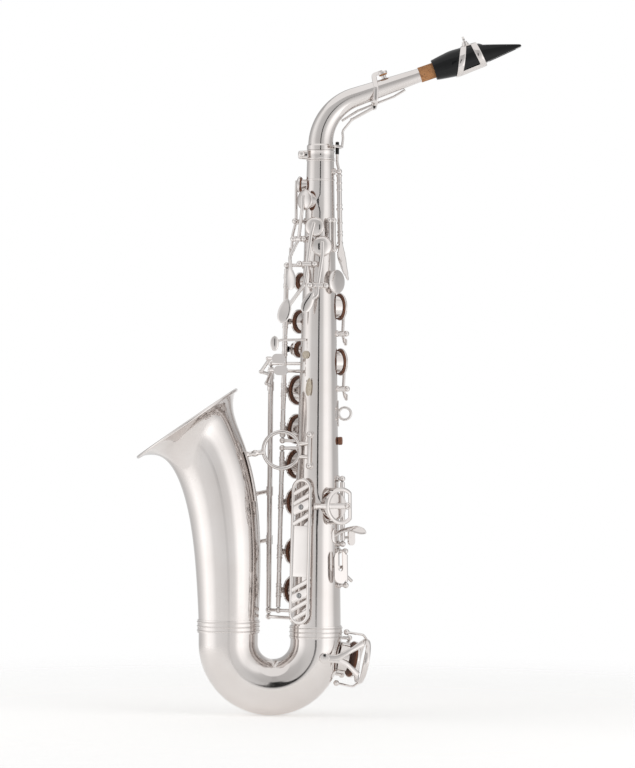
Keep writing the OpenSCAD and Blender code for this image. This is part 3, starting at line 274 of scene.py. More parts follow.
def hinge_steel():
    """Turned steel: grey, with fine rings round the rod that spread its gloss."""
    colours = sizes("sax_colours")
    material, tree, shader, place = new_material("hinge_steel_turned")
    # Tool marks, drawn as coarse as this so that they show, and ten times as long round the rod
    stretch = add(tree, "ShaderNodeMapping", values={"Scale": (0.1, 0.1, 1.0)}, links={"Vector": place})
    marks = noise(tree, stretch.outputs["Vector"], 0.8, 2.0)
    connect(tree, shader, {"Metallic": 1.0}, {
        "Base Color": blend(tree, colours.steel_dark, colours.steel, marks),
        "Roughness": graded(tree, 0.18, 0.36, marks),
    })
    return material


def pad_leather():
    """Brown kid leather: fine pebbled grain and darker clouds, with a dull sheen."""
    colours = sizes("sax_colours")
    material, tree, shader, place = new_material("kid_leather_tanned")
    connect(tree, shader, {"Roughness": 0.55, "Sheen Weight": 0.15}, {
        "Base Color": blend(tree, colours.leather_dark, colours.leather, noise(tree, place, 7, 3.0)),
        "Normal": bump(tree, 0.12, 0.5, cells(tree, place, 0.9)),
    })
    return material


def cork_sanded():
    """Sanded cork: tan grains a millimetre or two across, with dark pits."""
    colours = sizes("sax_colours")
    material, tree, shader, place = new_material("cork_sanded")
    grain = blend(tree, colours.cork, colours.cork_grain, cells(tree, place, 1.6))
    # The pits are where the noise is highest
    pits = add(tree, "ShaderNodeMapRange", values={"From Min": 0.56, "From Max": 0.68},
               links={"Value": noise(tree, place, 1.7, 3.0, {"Roughness": 0.6})}).outputs["Result"]
    connect(tree, shader, {"Roughness": 0.8}, {
        "Base Color": blend(tree, grain, colours.cork_pit, pits),
        "Normal": bump(tree, 0.25, 0.6, pits, invert=True),
    })
    return material


def ebonite_polished():
    """Polished hard rubber: deep black with a soft gloss and faint buffing clouds."""
    colours = sizes("sax_colours")
    material, tree, shader, place = new_material("ebonite_polished")
    cloud = noise(tree, place, 6, 4.0)
    connect(tree, shader, {"IOR": 1.6, "Specular IOR Level": 0.22}, {
        "Base Color": blend(tree, colours.ebonite_deep, colours.ebonite, cloud),
        "Roughness": graded(tree, 0.1, 0.22, cloud),
    })
    return material


def pearl_shell():
    """Mother-of-pearl: pale cream with slow bands of tone under a clear polish."""
    colours = sizes("sax_colours")
    material, tree, shader, place = new_material("pearl_shell_polished")
    bands = noise(tree, place, 3, 2.0, {"Distortion": 1.5})
    connect(tree, shader, {"Coat Weight": 0.6}, {
        "Base Color": blend(tree, colours.pearl_dark, colours.pearl, bands),
        "Roughness": graded(tree, 0.12, 0.24, bands),
    })
    return material


FINISHES = {
    "pearl": pearl_shell,
    "silver_plate": silver_plate,
    "steel": hinge_steel,
    "pad_leather": pad_leather,
    "cork": cork_sanded,
    "ebonite": ebonite_polished,
}
# Finishes made so far, by slot
made = {}


def finish(slot):
    """The material of one of the record's slots, made once."""
    if slot not in made:
        made[slot] = FINISHES[slot]()
    return made[slot]


# Shapes on grids

def move(x, y, z):
    """A 4 by 4 shift."""
    matrix = np.eye(4)
    matrix[:3, 3] = x, y, z
    return matrix


def turn(axis, radians):
    """A 4 by 4 turn round X, Y or Z."""
    i, j = {"X": (1, 2), "Y": (2, 0), "Z": (0, 1)}[axis]
    matrix = np.eye(4)
    matrix[i, i] = matrix[j, j] = math.cos(radians)
    matrix[j, i] = math.sin(radians)
    matrix[i, j] = -math.sin(radians)
    return matrix


def put(points, matrix):
    """Points carried by a 4 by 4 matrix."""
    return points @ matrix[:3, :3].T + matrix[:3, 3]


def grid_faces(rows, columns, close_rows=False):
    """Quads of a grid whose columns close on themselves, and whose rows may."""
    i = np.arange(rows if close_rows else rows - 1)[:, None]
    j = np.arange(columns)[None, :]
    low, high = i * columns, (i + 1) % rows * columns
    right = (j + 1) % columns
    return np.stack([low + j, low + right, high + right, high + j], -1).reshape(-1, 4)


def right_way(points, faces):
    """Quads turned so that the signed volume inside them is positive."""
    a, b, c, d = (points[faces[:, k]] for k in range(4))
    volume = (np.cross(a, b) * c + np.cross(a, c) * d).sum() / 6
    return faces if volume > 0 else faces[:, ::-1]


# Edges sharper than this many degrees stay sharp: on fittings, on sheet metal and on leather
FITTING_EDGE = 50.0
SHEET_EDGE = 40.0
LEATHER_EDGE = 70.0
# Points nearer than this are one point
WELD = 1e-7


def piece(name, parts, body, slot, edge=FITTING_EDGE, node=None):
    """A mesh object from parts, each a pair of points and quads, riding on a body, and in place of a CAD node."""
    starts = np.cumsum([0] + [len(points) for points, _ in parts])
    points = np.concatenate([points for points, _ in parts])
    faces = np.concatenate([right_way(*part) + start for part, start in zip(parts, starts)])
    mesh = bpy.data.meshes.new(name)
    mesh.from_pydata(points.tolist(), [], faces.tolist())
    weld = bmesh.new()
    weld.from_mesh(mesh)
    bmesh.ops.remove_doubles(weld, verts=weld.verts, dist=WELD)
    weld.to_mesh(mesh)
    weld.free()
    mesh.shade_smooth()
    mesh.set_sharp_from_angle(angle=math.radians(edge))
    mesh.materials.append(finish(slot))
    obj = bpy.data.objects.new(name, mesh)
    bpy.context.scene.collection.objects.link(obj)
    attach(obj, body)
    if node:
        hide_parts(node)
    return obj


def rings(centres, tilts, radii, sides):
    """Rings of a bent tube: round each centre, in a plane leaned round Y by its tilt."""
    around = np.linspace(0, 2 * np.pi, sides, endpoint=False)
    across = np.stack([np.cos(tilts), np.zeros_like(tilts), np.sin(tilts)], -1)[:, None]
    aside = np.array([0.0, 1.0, 0.0])
    spread = np.cos(around)[None, :, None] * across + np.sin(around)[None, :, None] * aside
    return centres[:, None] + radii[:, None, None] * spread


def lathe(profile, sides):
    """A profile of (out from the axis, along X) points turned round X; ends on the axis close to poles."""
    around = np.linspace(0, 2 * np.pi, sides, endpoint=False)
    out, run = profile[:, :1], profile[:, 1:]
    points = np.stack([
        np.broadcast_to(run, (len(profile), sides)),
        out * np.cos(around),
        out * np.sin(around),
    ], -1).reshape(-1, 3)
    return points, grid_faces(len(profile), sides)


def dome(radius, low, rise, count, power=1.0):
    """Profile of a dome: a quarter of an ellipse from its edge to its pole, squarer for a power under 1."""
    a = np.linspace(0, np.pi / 2, count)
    return np.stack([radius * np.cos(a) ** power, low + rise * np.sin(a)], -1)


def curve(stops, at):
    """Value at each place of a line through (place, value) stops."""
    place, value = np.array(stops, float).T
    return np.interp(at, place, value)


# The most that a corner's cut takes of a side
MAX_CUT = 0.48


def rounded(stops, cut):
    """A line through stops whose corners are cut back by at most a distance, then halved three times.

    Each halving replaces a corner by two points, a quarter of the way along its two sides.
    """
    stops = np.asarray(stops, float)
    ahead = np.diff(stops, axis=0)
    size = np.linalg.norm(ahead, axis=1)[:, None]
    share = np.minimum(cut / size, MAX_CUT)
    cuts = np.stack([stops[:-1] + share * ahead, stops[1:] - share * ahead], 1).reshape(-1, 3)
    corners = np.insert(cuts, np.arange(2, len(cuts), 2), stops[1:-1], axis=0)
    line = np.concatenate([stops[:1], corners, stops[-1:]])
    for _ in range(3):
        low, high = line[:-1], line[1:]
        halved = np.stack([0.75 * low + 0.25 * high, 0.25 * low + 0.75 * high], 1).reshape(-1, 3)
        line = np.concatenate([line[:1], halved, line[-1:]])
    return line


# Rings on the rounded end of a bar, points round it, and rounding of a straight one as a share of its radius
CAP_RINGS, BAR_SIDES, BAR_ROUND = 5, 20, 0.15
BALL_RINGS, BALL_SIDES = 17, 24


def sweep(line, wide, thick, aside, cap=None, sides=BAR_SIDES):
    """A bar along a line: ellipses of two half sizes, the first along aside, with both ends rounded by cap."""
    line = np.asarray(line, float)
    count = len(line)
    wide, thick = (np.broadcast_to(np.asarray(v, float), (count,)) for v in (wide, thick))
    ahead = np.gradient(line, axis=0)
    ahead /= np.linalg.norm(ahead, axis=1)[:, None]
    side = np.asarray(aside, float) - (ahead @ np.asarray(aside, float))[:, None] * ahead
    side /= np.linalg.norm(side, axis=1)[:, None]
    up = np.cross(ahead, side)
    a = np.linspace(0, np.pi / 2, CAP_RINGS)[1:]
    ends = []
    for at, sign in ((0, -1), (-1, 1)):
        reach = min(wide[at], thick[at]) if cap is None else cap
        shrink = np.append(reach * (1 - np.cos(a)), max(wide[at], thick[at]))
        shift = np.append(reach * np.sin(a), reach)
        ends.append((
            line[at] + sign * shift[:, None] * ahead[at],
            np.maximum(wide[at] - shrink, 0),
            np.maximum(thick[at] - shrink, 0),
            np.repeat(side[at][None], CAP_RINGS, 0),
            np.repeat(up[at][None], CAP_RINGS, 0),
        ))
    first = [v[::-1] for v in ends[0]]
    line, wide, thick, side, up = (
        np.concatenate(v) for v in zip(first, (line, wide, thick, side, up), ends[1]))
    around = np.linspace(0, 2 * np.pi, sides, endpoint=False)
    points = (line[:, None] + (wide[:, None] * np.cos(around))[..., None] * side[:, None]
              + (thick[:, None] * np.sin(around))[..., None] * up[:, None])
    return points.reshape(-1, 3), grid_faces(len(line), sides)


def loop(line, wide, thick, flat):
    """A closed band round a line: ellipses, thin along flat, which may differ from point to point."""
    line = np.asarray(line, float)
    ahead = np.roll(line, -1, 0) - np.roll(line, 1, 0)
    flat = np.broadcast_to(np.asarray(flat, float), line.shape)
    side = np.cross(flat, ahead)
    side /= np.linalg.norm(side, axis=1)[:, None]
    around = np.linspace(0, 2 * np.pi, BAR_SIDES, endpoint=False)
    points = (line[:, None] + wide * np.cos(around)[None, :, None] * side[:, None]
              + thick * np.sin(around)[None, :, None] * flat[:, None])
    return points.reshape(-1, 3), grid_faces(len(line), BAR_SIDES, close_rows=True)


def circle(centre, radius, first, second, count=72):
    """Points round a circle in the plane of two directions."""
    a = np.linspace(0, 2 * np.pi, count, endpoint=False)[:, None]
    return np.asarray(centre, float) + radius * (np.cos(a) * np.asarray(first) + np.sin(a) * np.asarray(second))


def bar(a, b, r, cap=None):
    """A straight round bar between two points."""
    a, b = np.asarray(a, float), np.asarray(b, float)
    aside = np.roll(np.eye(3)[np.argmax(np.abs(b - a))], 1)
    return sweep(np.linspace(a, b, 3), r, r, aside, r * BAR_ROUND if cap is None else cap)


def ball(centre, r):
    """A ball: a half circle turned round X."""
    a = np.linspace(0, np.pi, BALL_RINGS)
    points, faces = lathe(np.stack([r * np.sin(a), -r * np.cos(a)], -1), BALL_SIDES)
    return points + np.asarray(centre, float), faces


def carried(part, matrix):
    """A part drawn in millimetres, carried to its place."""
    points, faces = part
    return put(np.asarray(points) * MM, matrix), faces


# The lines that the CAD model is built on

# How the lean of the rim fades down the bell, and how much faster the bell's middle line leans near the rim
LEAN_POWER = 1.18
LEAN_LEAD = 0.235
BELL_STEPS = 2001


def bow_middle_z():
    """Height of the centre of the bow's bend: a straight leg below the body tube."""
    return TUBE_LOW_Z - sizes("sax_body").bow_leg


def bow_line(count):
    """Centres, tilts and radii along the bow: a straight leg, a half turn and a straight leg.

    The radius grows from the tube's to the bell's as the sine of a quarter turn.
    """
    s = sizes("sax_body")
    bend = math.pi * s.bow_bend_r
    run = np.linspace(0, s.bow_leg + bend + s.bell_leg, count)
    a = np.clip((run - s.bow_leg) / s.bow_bend_r, 0, math.pi)
    rise = np.maximum(s.bow_leg - run, 0) + np.maximum(run - s.bow_leg - bend, 0)
    centres = np.stack([
        AXIS_X + s.bow_bend_r * (np.cos(a) - 1),
        np.zeros(count),
        bow_middle_z() - s.bow_bend_r * np.sin(a) + rise,
    ], -1)
    radii = s.tube_low_r + (s.bell_low_r - s.tube_low_r) * np.sin(run / run[-1] * math.pi / 2)
    return centres, -a, radii


def bell_fade(s, run):
    """How far the rim's lean reaches down the bell: a stretched exponential of the distance from the rim."""
    return np.exp(-(np.maximum(s.bell_length - run, 0) / s.bell_tilt_reach) ** LEAN_POWER)


def bell_line(run):
    """Centres, leans and radii of the bell at distances along it.

    The lean grows towards the rim by bell_fade, the middle line follows it a little faster, and the radius is
    a cone plus an exponential flare.
    """
    s = sizes("sax_body")
    start = bell_fade(s, 0.0)
    fine = np.linspace(0, s.bell_length, BELL_STEPS)
    lean = s.bell_tilt * (bell_fade(s, fine) - start) / (1 - start)
    path = lean * (1 + LEAN_LEAD * lean / s.bell_tilt)
    between = (path[1:] + path[:-1]) / 2
    x = np.concatenate([[0], np.cumsum(-np.sin(between))]) * fine[1]
    z = np.concatenate([[0], np.cumsum(np.cos(between))]) * fine[1]
    centres = np.stack([
        AXIS_X - 2 * s.bow_bend_r + np.interp(run, fine, x),
        np.zeros_like(run),
        bow_middle_z() + s.bell_leg + np.interp(run, fine, z),
    ], -1)
    radii = (s.bell_low_r + (s.bell_throat_r - s.bell_low_r) * run / s.bell_length
             + (s.bell_rim_r - s.rim_bead_r - s.bell_throat_r) * np.exp((run - s.bell_length) / s.bell_flare))
    return centres, np.interp(run, fine, lean), radii


def neck_line(count):
    """Centres, tilts and radii along the neck: a bend and then a straight stretch, tapering up to the cork."""
    n = sizes("sax_neck")
    full = math.pi / 2 - n.rise
    arc = n.bend_r * full
    run = np.linspace(0, arc + n.straight + n.cork_length, count)
    a = np.minimum(run / n.bend_r, full)
    rest = np.maximum(run - arc, 0)
    centres = np.stack([
        AXIS_X + n.bend_r * (1 - np.cos(a)) + rest * np.sin(a),
        np.zeros(count),
        COLLAR_TOP_Z + n.bend_r * np.sin(a) + rest * np.cos(a),
    ], -1)
    radii = n.low_r + (n.end_r - n.low_r) * np.minimum(1, run / (arc + n.straight))
    return centres, -a, radii


# Where the keys sit, in millimetres, degrees round the tube and shares of its height

# Stack keys: their turn, heights and pad radii, the hinge's place out and aside, and how far they stand open
STACK_TURN = 129.0
STACK_SHARES = (0.742, 0.657, 0.598, 0.511, 0.428, 0.354, 0.273, 0.167, 0.085)
STACK_PADS_MM = (8.5, 11.5, 8.0, 14.5, 14.5, 14.5, 13.5, 13.0, 13.5)
STACK_HINGE_MM = (10.0, 21.0)
STACK_OPEN = 13.0
# Keys that stand shut: turn, height and pad radius
SMALL_KEYS = {
    "front": (172.0, 0.947, 7.5),
    "palm_1": (224.0, 0.913, 9.5),
    "palm_2": (256.0, 0.856, 9.0),
    "palm_3": (276.0, 0.815, 9.5),
    "side_1": (27.0, 0.689, 13.0),
    "side_2": (27.0, 0.572, 13.0),
    "e_flat": (308.0, 0.268, 13.0),
}
# Pads that are CAD nodes of their own
SMALL_PAD_NODES = {"side_1": "side_pad_1", "side_2": "side_pad_2", "e_flat": "e_flat_pad"}
# Low C key: degrees along the bow's bend and round it, pad radius and the hinge's place out and aside
LOW_C_BEND, LOW_C_ROLL = 11.0, 10.0
LOW_C_PAD_MM = 17.5
LOW_C_HINGE_MM = (10.0, 23.5)
# Bell keys: distance along the bell and pad radius
BELL_KEYS = {"low_b": (73.0, 18.5), "low_b_flat": (123.0, 19.5)}
LOW_OPEN = 9.0
HOLE_RISE = 6.5 * MM
SMALL_HOLE_RISE = 4.2 * MM
PAD_GAP = 0.3 * MM
PAD_THICK = 3.6 * MM


def spots(stops):
    """Points by millimetres from the tube's axis, its middle plane and the bow's lowest point."""
    return np.array([AXIS_X, 0, BOW_LOW_Z]) + np.asarray(stops, float) * MM


def spot(x, y, z):
    """One point, placed as spots() does."""
    return spots((x, y, z))


def along(share):
    """Height of a share of the tube's length."""
    return TUBE_LOW_Z + share * (TUBE_TOP_Z - TUBE_LOW_Z)


def tube_r(z):
    """Outer radius of the body tube at a height."""
    s = sizes("sax_body")
    return s.tube_low_r + (s.tube_top_r - s.tube_low_r) * (z - TUBE_LOW_Z) / (TUBE_TOP_Z - TUBE_LOW_Z)


def taper():
    """Half angle of the tube's cone."""
    s = sizes("sax_body")
    return math.atan((s.tube_low_r - s.tube_top_r) / (TUBE_TOP_Z - TUBE_LOW_Z))


def on_tube(degrees, z):
    """Frame on the tube's wall: X outwards, Y sideways, Z up the slope."""
    return (move(AXIS_X, 0, 0) @ turn("Z", math.radians(degrees)) @ move(tube_r(z), 0, z)
            @ turn("Y", -taper()))


def swing(out, side, degrees):
    """Turn round a hinge that runs along Z at (out, side)."""
    return move(out, side, 0) @ turn("Z", math.radians(degrees)) @ move(-out, -side, 0)


def on_bow(degrees, roll):
    """Frame on the outside of the bow's bend: X outwards, Y sideways, Z along the bend."""
    s = sizes("sax_body")
    bend = s.bow_bend_r * math.radians(degrees)
    full = s.bow_leg + math.pi * s.bow_bend_r + s.bell_leg
    radius = s.tube_low_r + (s.bell_low_r - s.tube_low_r) * math.sin((s.bow_leg + bend) / full * math.pi / 2)
    return (move(AXIS_X - s.bow_bend_r, 0, bow_middle_z()) @ turn("Y", math.radians(degrees))
            @ move(s.bow_bend_r, 0, 0) @ turn("Z", math.radians(roll)) @ move(radius, 0, 0))


def on_bell(distance):
    """Frame on the far side of the bell: X outwards, Z up the bell."""
    centres, lean, radii = bell_line(np.array([distance]))
    return move(*centres[0]) @ turn("Y", -lean[0]) @ turn("Z", math.pi / 2) @ move(radii[0], 0, 0)


def off_tube(degrees, z, out):
    """A point that many millimetres off the tube's wall."""
    return put(np.array([out * MM, 0, 0]), on_tube(degrees, z))


def off_bell(distances, degrees, out):
    """Points off the bell's wall, by millimetres along it, a turn round it and a gap."""
    centres, lean, radii = bell_line(np.atleast_1d(np.asarray(distances, float)) * MM)
    ahead, aside = math.cos(math.radians(degrees)), math.sin(math.radians(degrees))
    outwards = np.stack([ahead * np.cos(lean), np.full(len(lean), aside), ahead * np.sin(lean)], -1)
    return centres + (radii + out * MM)[:, None] * outwards


def neck_radius(run):
    """The neck's radius at a run along it, in millimetres."""
    n = sizes("sax_neck")
    full = n.bend_r * (math.pi / 2 - n.rise) + n.straight
    return (n.low_r + (n.end_r - n.low_r) * min(1.0, run * MM / full)) / MM


def off_neck(run, off, side=0.0):
    """A point in millimetres: run along the neck, height off its middle line, and side."""
    n = sizes("sax_neck")
    full = math.pi / 2 - n.rise
    a = min(run * MM / n.bend_r, full)
    rest = max(run * MM - n.bend_r * full, 0.0)
    return np.array([
        AXIS_X + n.bend_r * (1 - math.cos(a)) + rest * math.sin(a) - off * MM * math.cos(a),
        side * MM,
        COLLAR_TOP_Z + n.bend_r * math.sin(a) + rest * math.cos(a) + off * MM * math.sin(a),
    ])


def mouth_frame():
    """Frame of the mouthpiece: X from its shank to its tip, Z up."""
    n = sizes("sax_neck")
    run = (n.bend_r * (math.pi / 2 - n.rise) + n.straight) / MM
    return move(*off_neck(run, 0)) @ turn("Y", -n.rise) @ move(n.cork_bare, 0, 0)


def pad_frames():
    """Body, CAD pad node, frame with X out of the pad's face, and radius of every pad."""
    lift = move(HOLE_RISE + PAD_GAP, 0, 0)
    open_stack = swing(STACK_HINGE_MM[0] * MM, STACK_HINGE_MM[1] * MM, STACK_OPEN)
    for k, (share, radius) in enumerate(zip(STACK_SHARES, STACK_PADS_MM), 1):
        place = on_tube(STACK_TURN, along(share)) @ open_stack @ lift
        yield f"stack_{k}", f"stack_pad_{k}", place, radius * MM
    for body, (degrees, share, radius) in SMALL_KEYS.items():
        place = on_tube(degrees, along(share)) @ move(SMALL_HOLE_RISE + PAD_GAP, 0, 0)
        yield body, SMALL_PAD_NODES.get(body), place, radius * MM
    open_low = swing(LOW_C_HINGE_MM[0] * MM, LOW_C_HINGE_MM[1] * MM, LOW_OPEN)
    yield "low_c", "low_c_pad", on_bow(LOW_C_BEND, LOW_C_ROLL) @ open_low @ lift, LOW_C_PAD_MM * MM
    for body, (distance, radius) in BELL_KEYS.items():
        hinge = next(j for j in frame["joints"] if j["child"] == body)
        x, y, _ = hinge["pos_m"]
        yield body, None, swing(x, y, -LOW_OPEN) @ on_bell(distance * MM) @ lift, radius * MM


# Operators

# Rings along each shell and points round it; the bell's rings crowd towards its rim by a power
BELL_RINGS, BOW_RINGS, NECK_RINGS = 150, 140, 130
HORN_SIDES, NECK_SIDES = 144, 96
RIM_CROWD = 1.7
# Degrees round the bead's own middle that the rolled rim covers
RIM_ROLL = np.arange(-75, 170, 10.0)


class SAX_OT_shells(bpy.types.Operator):
    """Draws the bell, the bow and the neck as smooth thin-walled shells"""
    bl_idname = "sax.shells"
    bl_label = "Bell, bow and neck"

    def execute(self, context):
        share = np.linspace(0, 1, BELL_RINGS)[:-1]
        bell = bell_line(sizes("sax_body").bell_length * (1 - (1 - share) ** RIM_CROWD))
        self.shell("bell_shell", bell, HORN_SIDES, "horn", "bell", self.rim())
        self.shell("bow_shell", bow_line(BOW_RINGS), HORN_SIDES, "horn", "bow")
        self.shell("neck_shell", neck_line(NECK_RINGS), NECK_SIDES, "neck", "neck_tube")
        return {"FINISHED"}

    def shell(self, name, line, sides, body, node, lip=()):
        """A thin wall through outer rings, over the lip and back through inner rings, closed at its foot."""
        centres, lean, radii = line
        wall = sizes("sax_body").wall
        outer, inner = (rings(centres, lean, r, sides) for r in (radii, radii - wall))
        stack = np.concatenate([outer, np.reshape(lip, (-1, sides, 3)), inner[::-1]])
        part = stack.reshape(-1, 3), grid_faces(len(stack), sides, close_rows=True)
        piece(name, [part], body, "silver_plate", SHEET_EDGE, node)

    def rim(self):
        """Rings of the rolled bead: a circle at the bell's edge, from under its outside over to its inside."""
        s = sizes("sax_body")
        centre, lean, _ = bell_line(np.array([s.bell_length]))
        a = np.radians(RIM_ROLL)
        up = np.array([-math.sin(lean[0]), 0, math.cos(lean[0])])
        return rings(centre + s.rim_bead_r * np.sin(a)[:, None] * up, np.full(len(a), lean[0]),
                     s.bell_rim_r - s.rim_bead_r + s.rim_bead_r * np.cos(a), HORN_SIDES)


# A pad's puff past the cup's lip, stand proud of it, rolled edge and play in the cup
PAD_PUFF, PAD_PROUD, PAD_ROLL, PAD_PLAY = 0.12 * MM, 0.15 * MM, 1.1 * MM, 0.05 * MM
# The seat that the tone hole presses: its distance from the edge, depth and half width
SEAT_INSET, SEAT_DEEP, SEAT_HALF = 2.5 * MM, 0.13 * MM, 0.7 * MM
# Step from the rolled edge down to the disc's side
PAD_STEP = 0.06 * MM
PAD_SIDES = 64


class SAX_OT_pads(bpy.types.Operator):
    """Fits the leather pads: puffed at the edge, with the seat of the tone hole pressed into the face"""
    bl_idname = "sax.pads"
    bl_label = "Leather pads"

    def execute(self, context):
        for body, node, place, radius in pad_frames():
            obj = piece(body + "_leather", [self.pad(radius, place)], body, "pad_leather", LEATHER_EDGE, node)
        return {"FINISHED"}

    def pad(self, radius, place):
        """A lathed disc: the face stands proud, dips where the tone hole presses, and rolls round the edge.

        The dip is a bell curve round the seat. Out of the cup the edge puffs past the cup's lip; inside it the
        disc keeps to the cup's wall.
        """
        r = np.linspace(0, radius - PAD_ROLL, 26)
        press = SEAT_DEEP * np.exp(-((r - radius + SEAT_INSET) / SEAT_HALF) ** 2)
        face = np.stack([r, -PAD_PROUD + press], -1)
        a = np.linspace(0, math.pi / 2, 7)[1:]
        edge = np.stack([radius - PAD_ROLL + (PAD_ROLL + PAD_PUFF) * np.sin(a),
                         -PAD_PROUD + (PAD_ROLL + PAD_PROUD) * (1 - np.cos(a))], -1)
        inside = radius - PAD_PLAY
        back = np.array([[inside, PAD_ROLL + PAD_STEP], [inside, PAD_THICK], [0, PAD_THICK]])
        points, faces = lathe(np.concatenate([face, edge, back]), PAD_SIDES)
        return put(points, place), faces


# Rocker keys in millimetres from the middle of the tone hole: the CAD node, drop and side of the hinge,
# side of the arm at the cup, bend and touch, and half sizes of the touch
ROCKERS = {
    "front": ("front_key", 37, 0, 0, (12.5, -1.5, -51), (13, -3.5, -70), (7, 5)),
    "palm_1": ("palm_key_1", 39, -5, 0, (14, -12, -57), (18, -4, -79), (11.5, 6.5)),
    "palm_2": ("palm_key_2", 37, -6.5, -3, (10, -9, -58), (7, -29, -84), (12.5, 6.5)),
    "palm_3": ("palm_key_3", 39, -4, 0, (12, -5, -49), (10, -14, -56), (11.5, 5.5)),
    "side_1": ("side_key_1", 27, 0, 0, (11, 2, -32), (12.5, 3, -35.5), (3.5, 3)),
    "side_2": ("side_key_2", 27, 0, 0, (11, 2, -32), (12.5, 3, -35.5), (3.5, 3)),
}
# The hinge's distance off the tube and half length, the hinge tube, the arm's half sizes and bends
ROCKER_OUT, ROCKER_HALF = 9.0, 4.5
HINGE_R = 2.4
ARM_WIDE, ARM_THICK, ARM_BEND = 1.955, 1.445, 7
# Height of the arm over the pad's face, and of the cup's pad back, wall, shoulder and dome
ARM_OVER_FACE = 5.5
CUP_PAD_BACK, CUP_WALL, CUP_SHOULDER, CUP_DOME = 3.58, 0.9, 2.0, 3.4
# The cup's rolled lip by distance past the pad's edge and over its face, the pad's play and the dome's fullness
CUP_LIP = ((0, 1.3), (0.35, 1.1), (0.75, 1.2), (CUP_WALL, 1.6))
CUP_PLAY, CUP_FULL = 0.02, 2.2
CUP_SIDES = 64
# Collars at the ends of a hinge tube: from its end, to, and their wall
COLLAR_FROM, COLLAR_TO, COLLAR_WALL = 0.3, 1.5, 0.45
# Touches stop a little short of their pointed ends
OVAL_END = 0.985
# Spoon touches: lean with the arm, fullness of the far end, half thickness at the middle and the edge, and dish
SPOON_LEAN, SPOON_FULL, SPOON_THICK, SPOON_EDGE, SPOON_DISH = 0.35, 0.18, 1.25, 0.15, 0.9


def cup(radius, face):
    """A domed key cup in millimetres, its pad's face at x = face: a rolled lip, then a flat dome to the middle."""
    outer = radius + CUP_WALL
    a = np.linspace(0, np.pi / 2, 20)
    back = [[0, face + CUP_PAD_BACK], [radius - CUP_PLAY, face + CUP_PAD_BACK]]
    lip = np.array(CUP_LIP) + [radius, face]
    top = np.stack([outer * np.cos(a), face + CUP_SHOULDER + CUP_DOME * np.sqrt(1 - np.cos(a) ** CUP_FULL)], -1)
    return lathe(np.concatenate([back, lip, top]), CUP_SIDES)


def hinge_tube(a, b, r):
    """A hinge tube in millimetres with a turned collar at each end."""
    a, b = np.asarray(a, float), np.asarray(b, float)
    ahead = (b - a) / np.linalg.norm(b - a)
    near, far = COLLAR_FROM * ahead, COLLAR_TO * ahead
    return [bar(a, b, r), bar(a + near, a + far, r + COLLAR_WALL), bar(b - far, b - near, r + COLLAR_WALL)]


class SAX_OT_rockers(bpy.types.Operator):
    """Draws the front, palm and side keys with domed cups, smoothly bent arms and spoon-shaped touches"""
    bl_idname = "sax.rockers"
    bl_label = "Rocker keys"

    def execute(self, context):
        face = (SMALL_HOLE_RISE + PAD_GAP) / MM
        back = face + ARM_OVER_FACE
        for body, (node, drop, hinge_side, arm_side, bend, end, half) in ROCKERS.items():
            degrees, share, radius = SMALL_KEYS[body]
            place = on_tube(degrees, along(share))
            hinge = np.array([ROCKER_OUT, hinge_side, -drop])
            reach = np.array([0, ROCKER_HALF, 0])
            arm = rounded([(back, 0, radius * 0.4), (back, arm_side, -radius), hinge, bend, end], ARM_BEND)
            parts = [
                cup(radius, face),
                sweep(arm, ARM_WIDE, ARM_THICK, (0, 1, 0)),
                *hinge_tube(hinge - reach, hinge + reach, HINGE_R),
                self.touch(np.array(end, float), np.subtract(end, bend), *half),
            ]
            piece(body + "_lever", [carried(part, place) for part in parts], body, "silver_plate", node=node)
        return {"FINISHED"}

    def touch(self, end, ahead, long, wide):
        """A spoon in the plane of the tube's wall: an ellipse along the arm, fuller towards its far end."""
        out = np.array([1.0, 0, 0])
        ahead = ahead * [0, SPOON_LEAN, 1]
        ahead /= np.linalg.norm(ahead)
        t = np.linspace(-OVAL_END, OVAL_END, 33)
        half = wide * np.sqrt(1 - t ** 2) * (1 + SPOON_FULL * t)
        thick = SPOON_THICK * np.sqrt(1 - t ** 4) + SPOON_EDGE
        line = end + out + t[:, None] * long * ahead + (SPOON_DISH * t ** 2)[:, None] * out
        return sweep(line, half, thick, np.cross(ahead, out), 0.1, 28)


# Octave lever: its tube's ends as shares of the body tube, less a post at each, its turn and its gap off the wall
OCTAVE_SHARES = (0.815, 0.975)
OCTAVE_POST, OCTAVE_TURN, OCTAVE_OUT = 3.4, -11, 5.2
# Collars on that tube, by share of its length and radius
OCTAVE_COLLARS = (
    (0.01, 3.0), (0.12, 2.9), (0.17, 2.9), (0.3, 2.9), (0.5, 3.3),
    (0.56, 2.9), (0.78, 2.9), (0.88, 2.9), (0.99, 3.0),
)
COLLAR_HALF = 0.7
# The pin by distance from the tube's axis, turn and height, its length and radius, and its sleeve's radius
PIN_REACH, PIN_TURN, PIN_Z = 17.8, 21, 562.07
PIN_LONG, PIN_R, SLEEVE_R = 12, 1.55, 1.85
# The thumb touch: stops of its line for spots(), its half width along it, and the small curl beside it
LEAF_STOPS = ((21.2, -9.5, 468), (21.5, -13, 460), (25.0, -19, 446), (28.4, -24.6, 436))
LEAF_WIDE = ((0, 2.0), (0.2, 2.2), (0.4, 3.9), (0.55, 4.1), (0.75, 2.8), (1, 0.9))
LEAF_THICK = 1.1
CURL_STOPS = ((21.5, -11.5, 463), (20.6, -13.5, 459), (20.4, -15.5, 456.5), (21.6, -17.0, 455))
CURL_WIDE, CURL_THICK = (2.0, 1.0), 0.95
# The arm from the tube's head to the pin: half sizes, and how far it stands off the head
PIN_ARM_WIDE, PIN_ARM_THICK, PIN_ARM_OFF = 1.4, 1.2, (1, 6, 0)


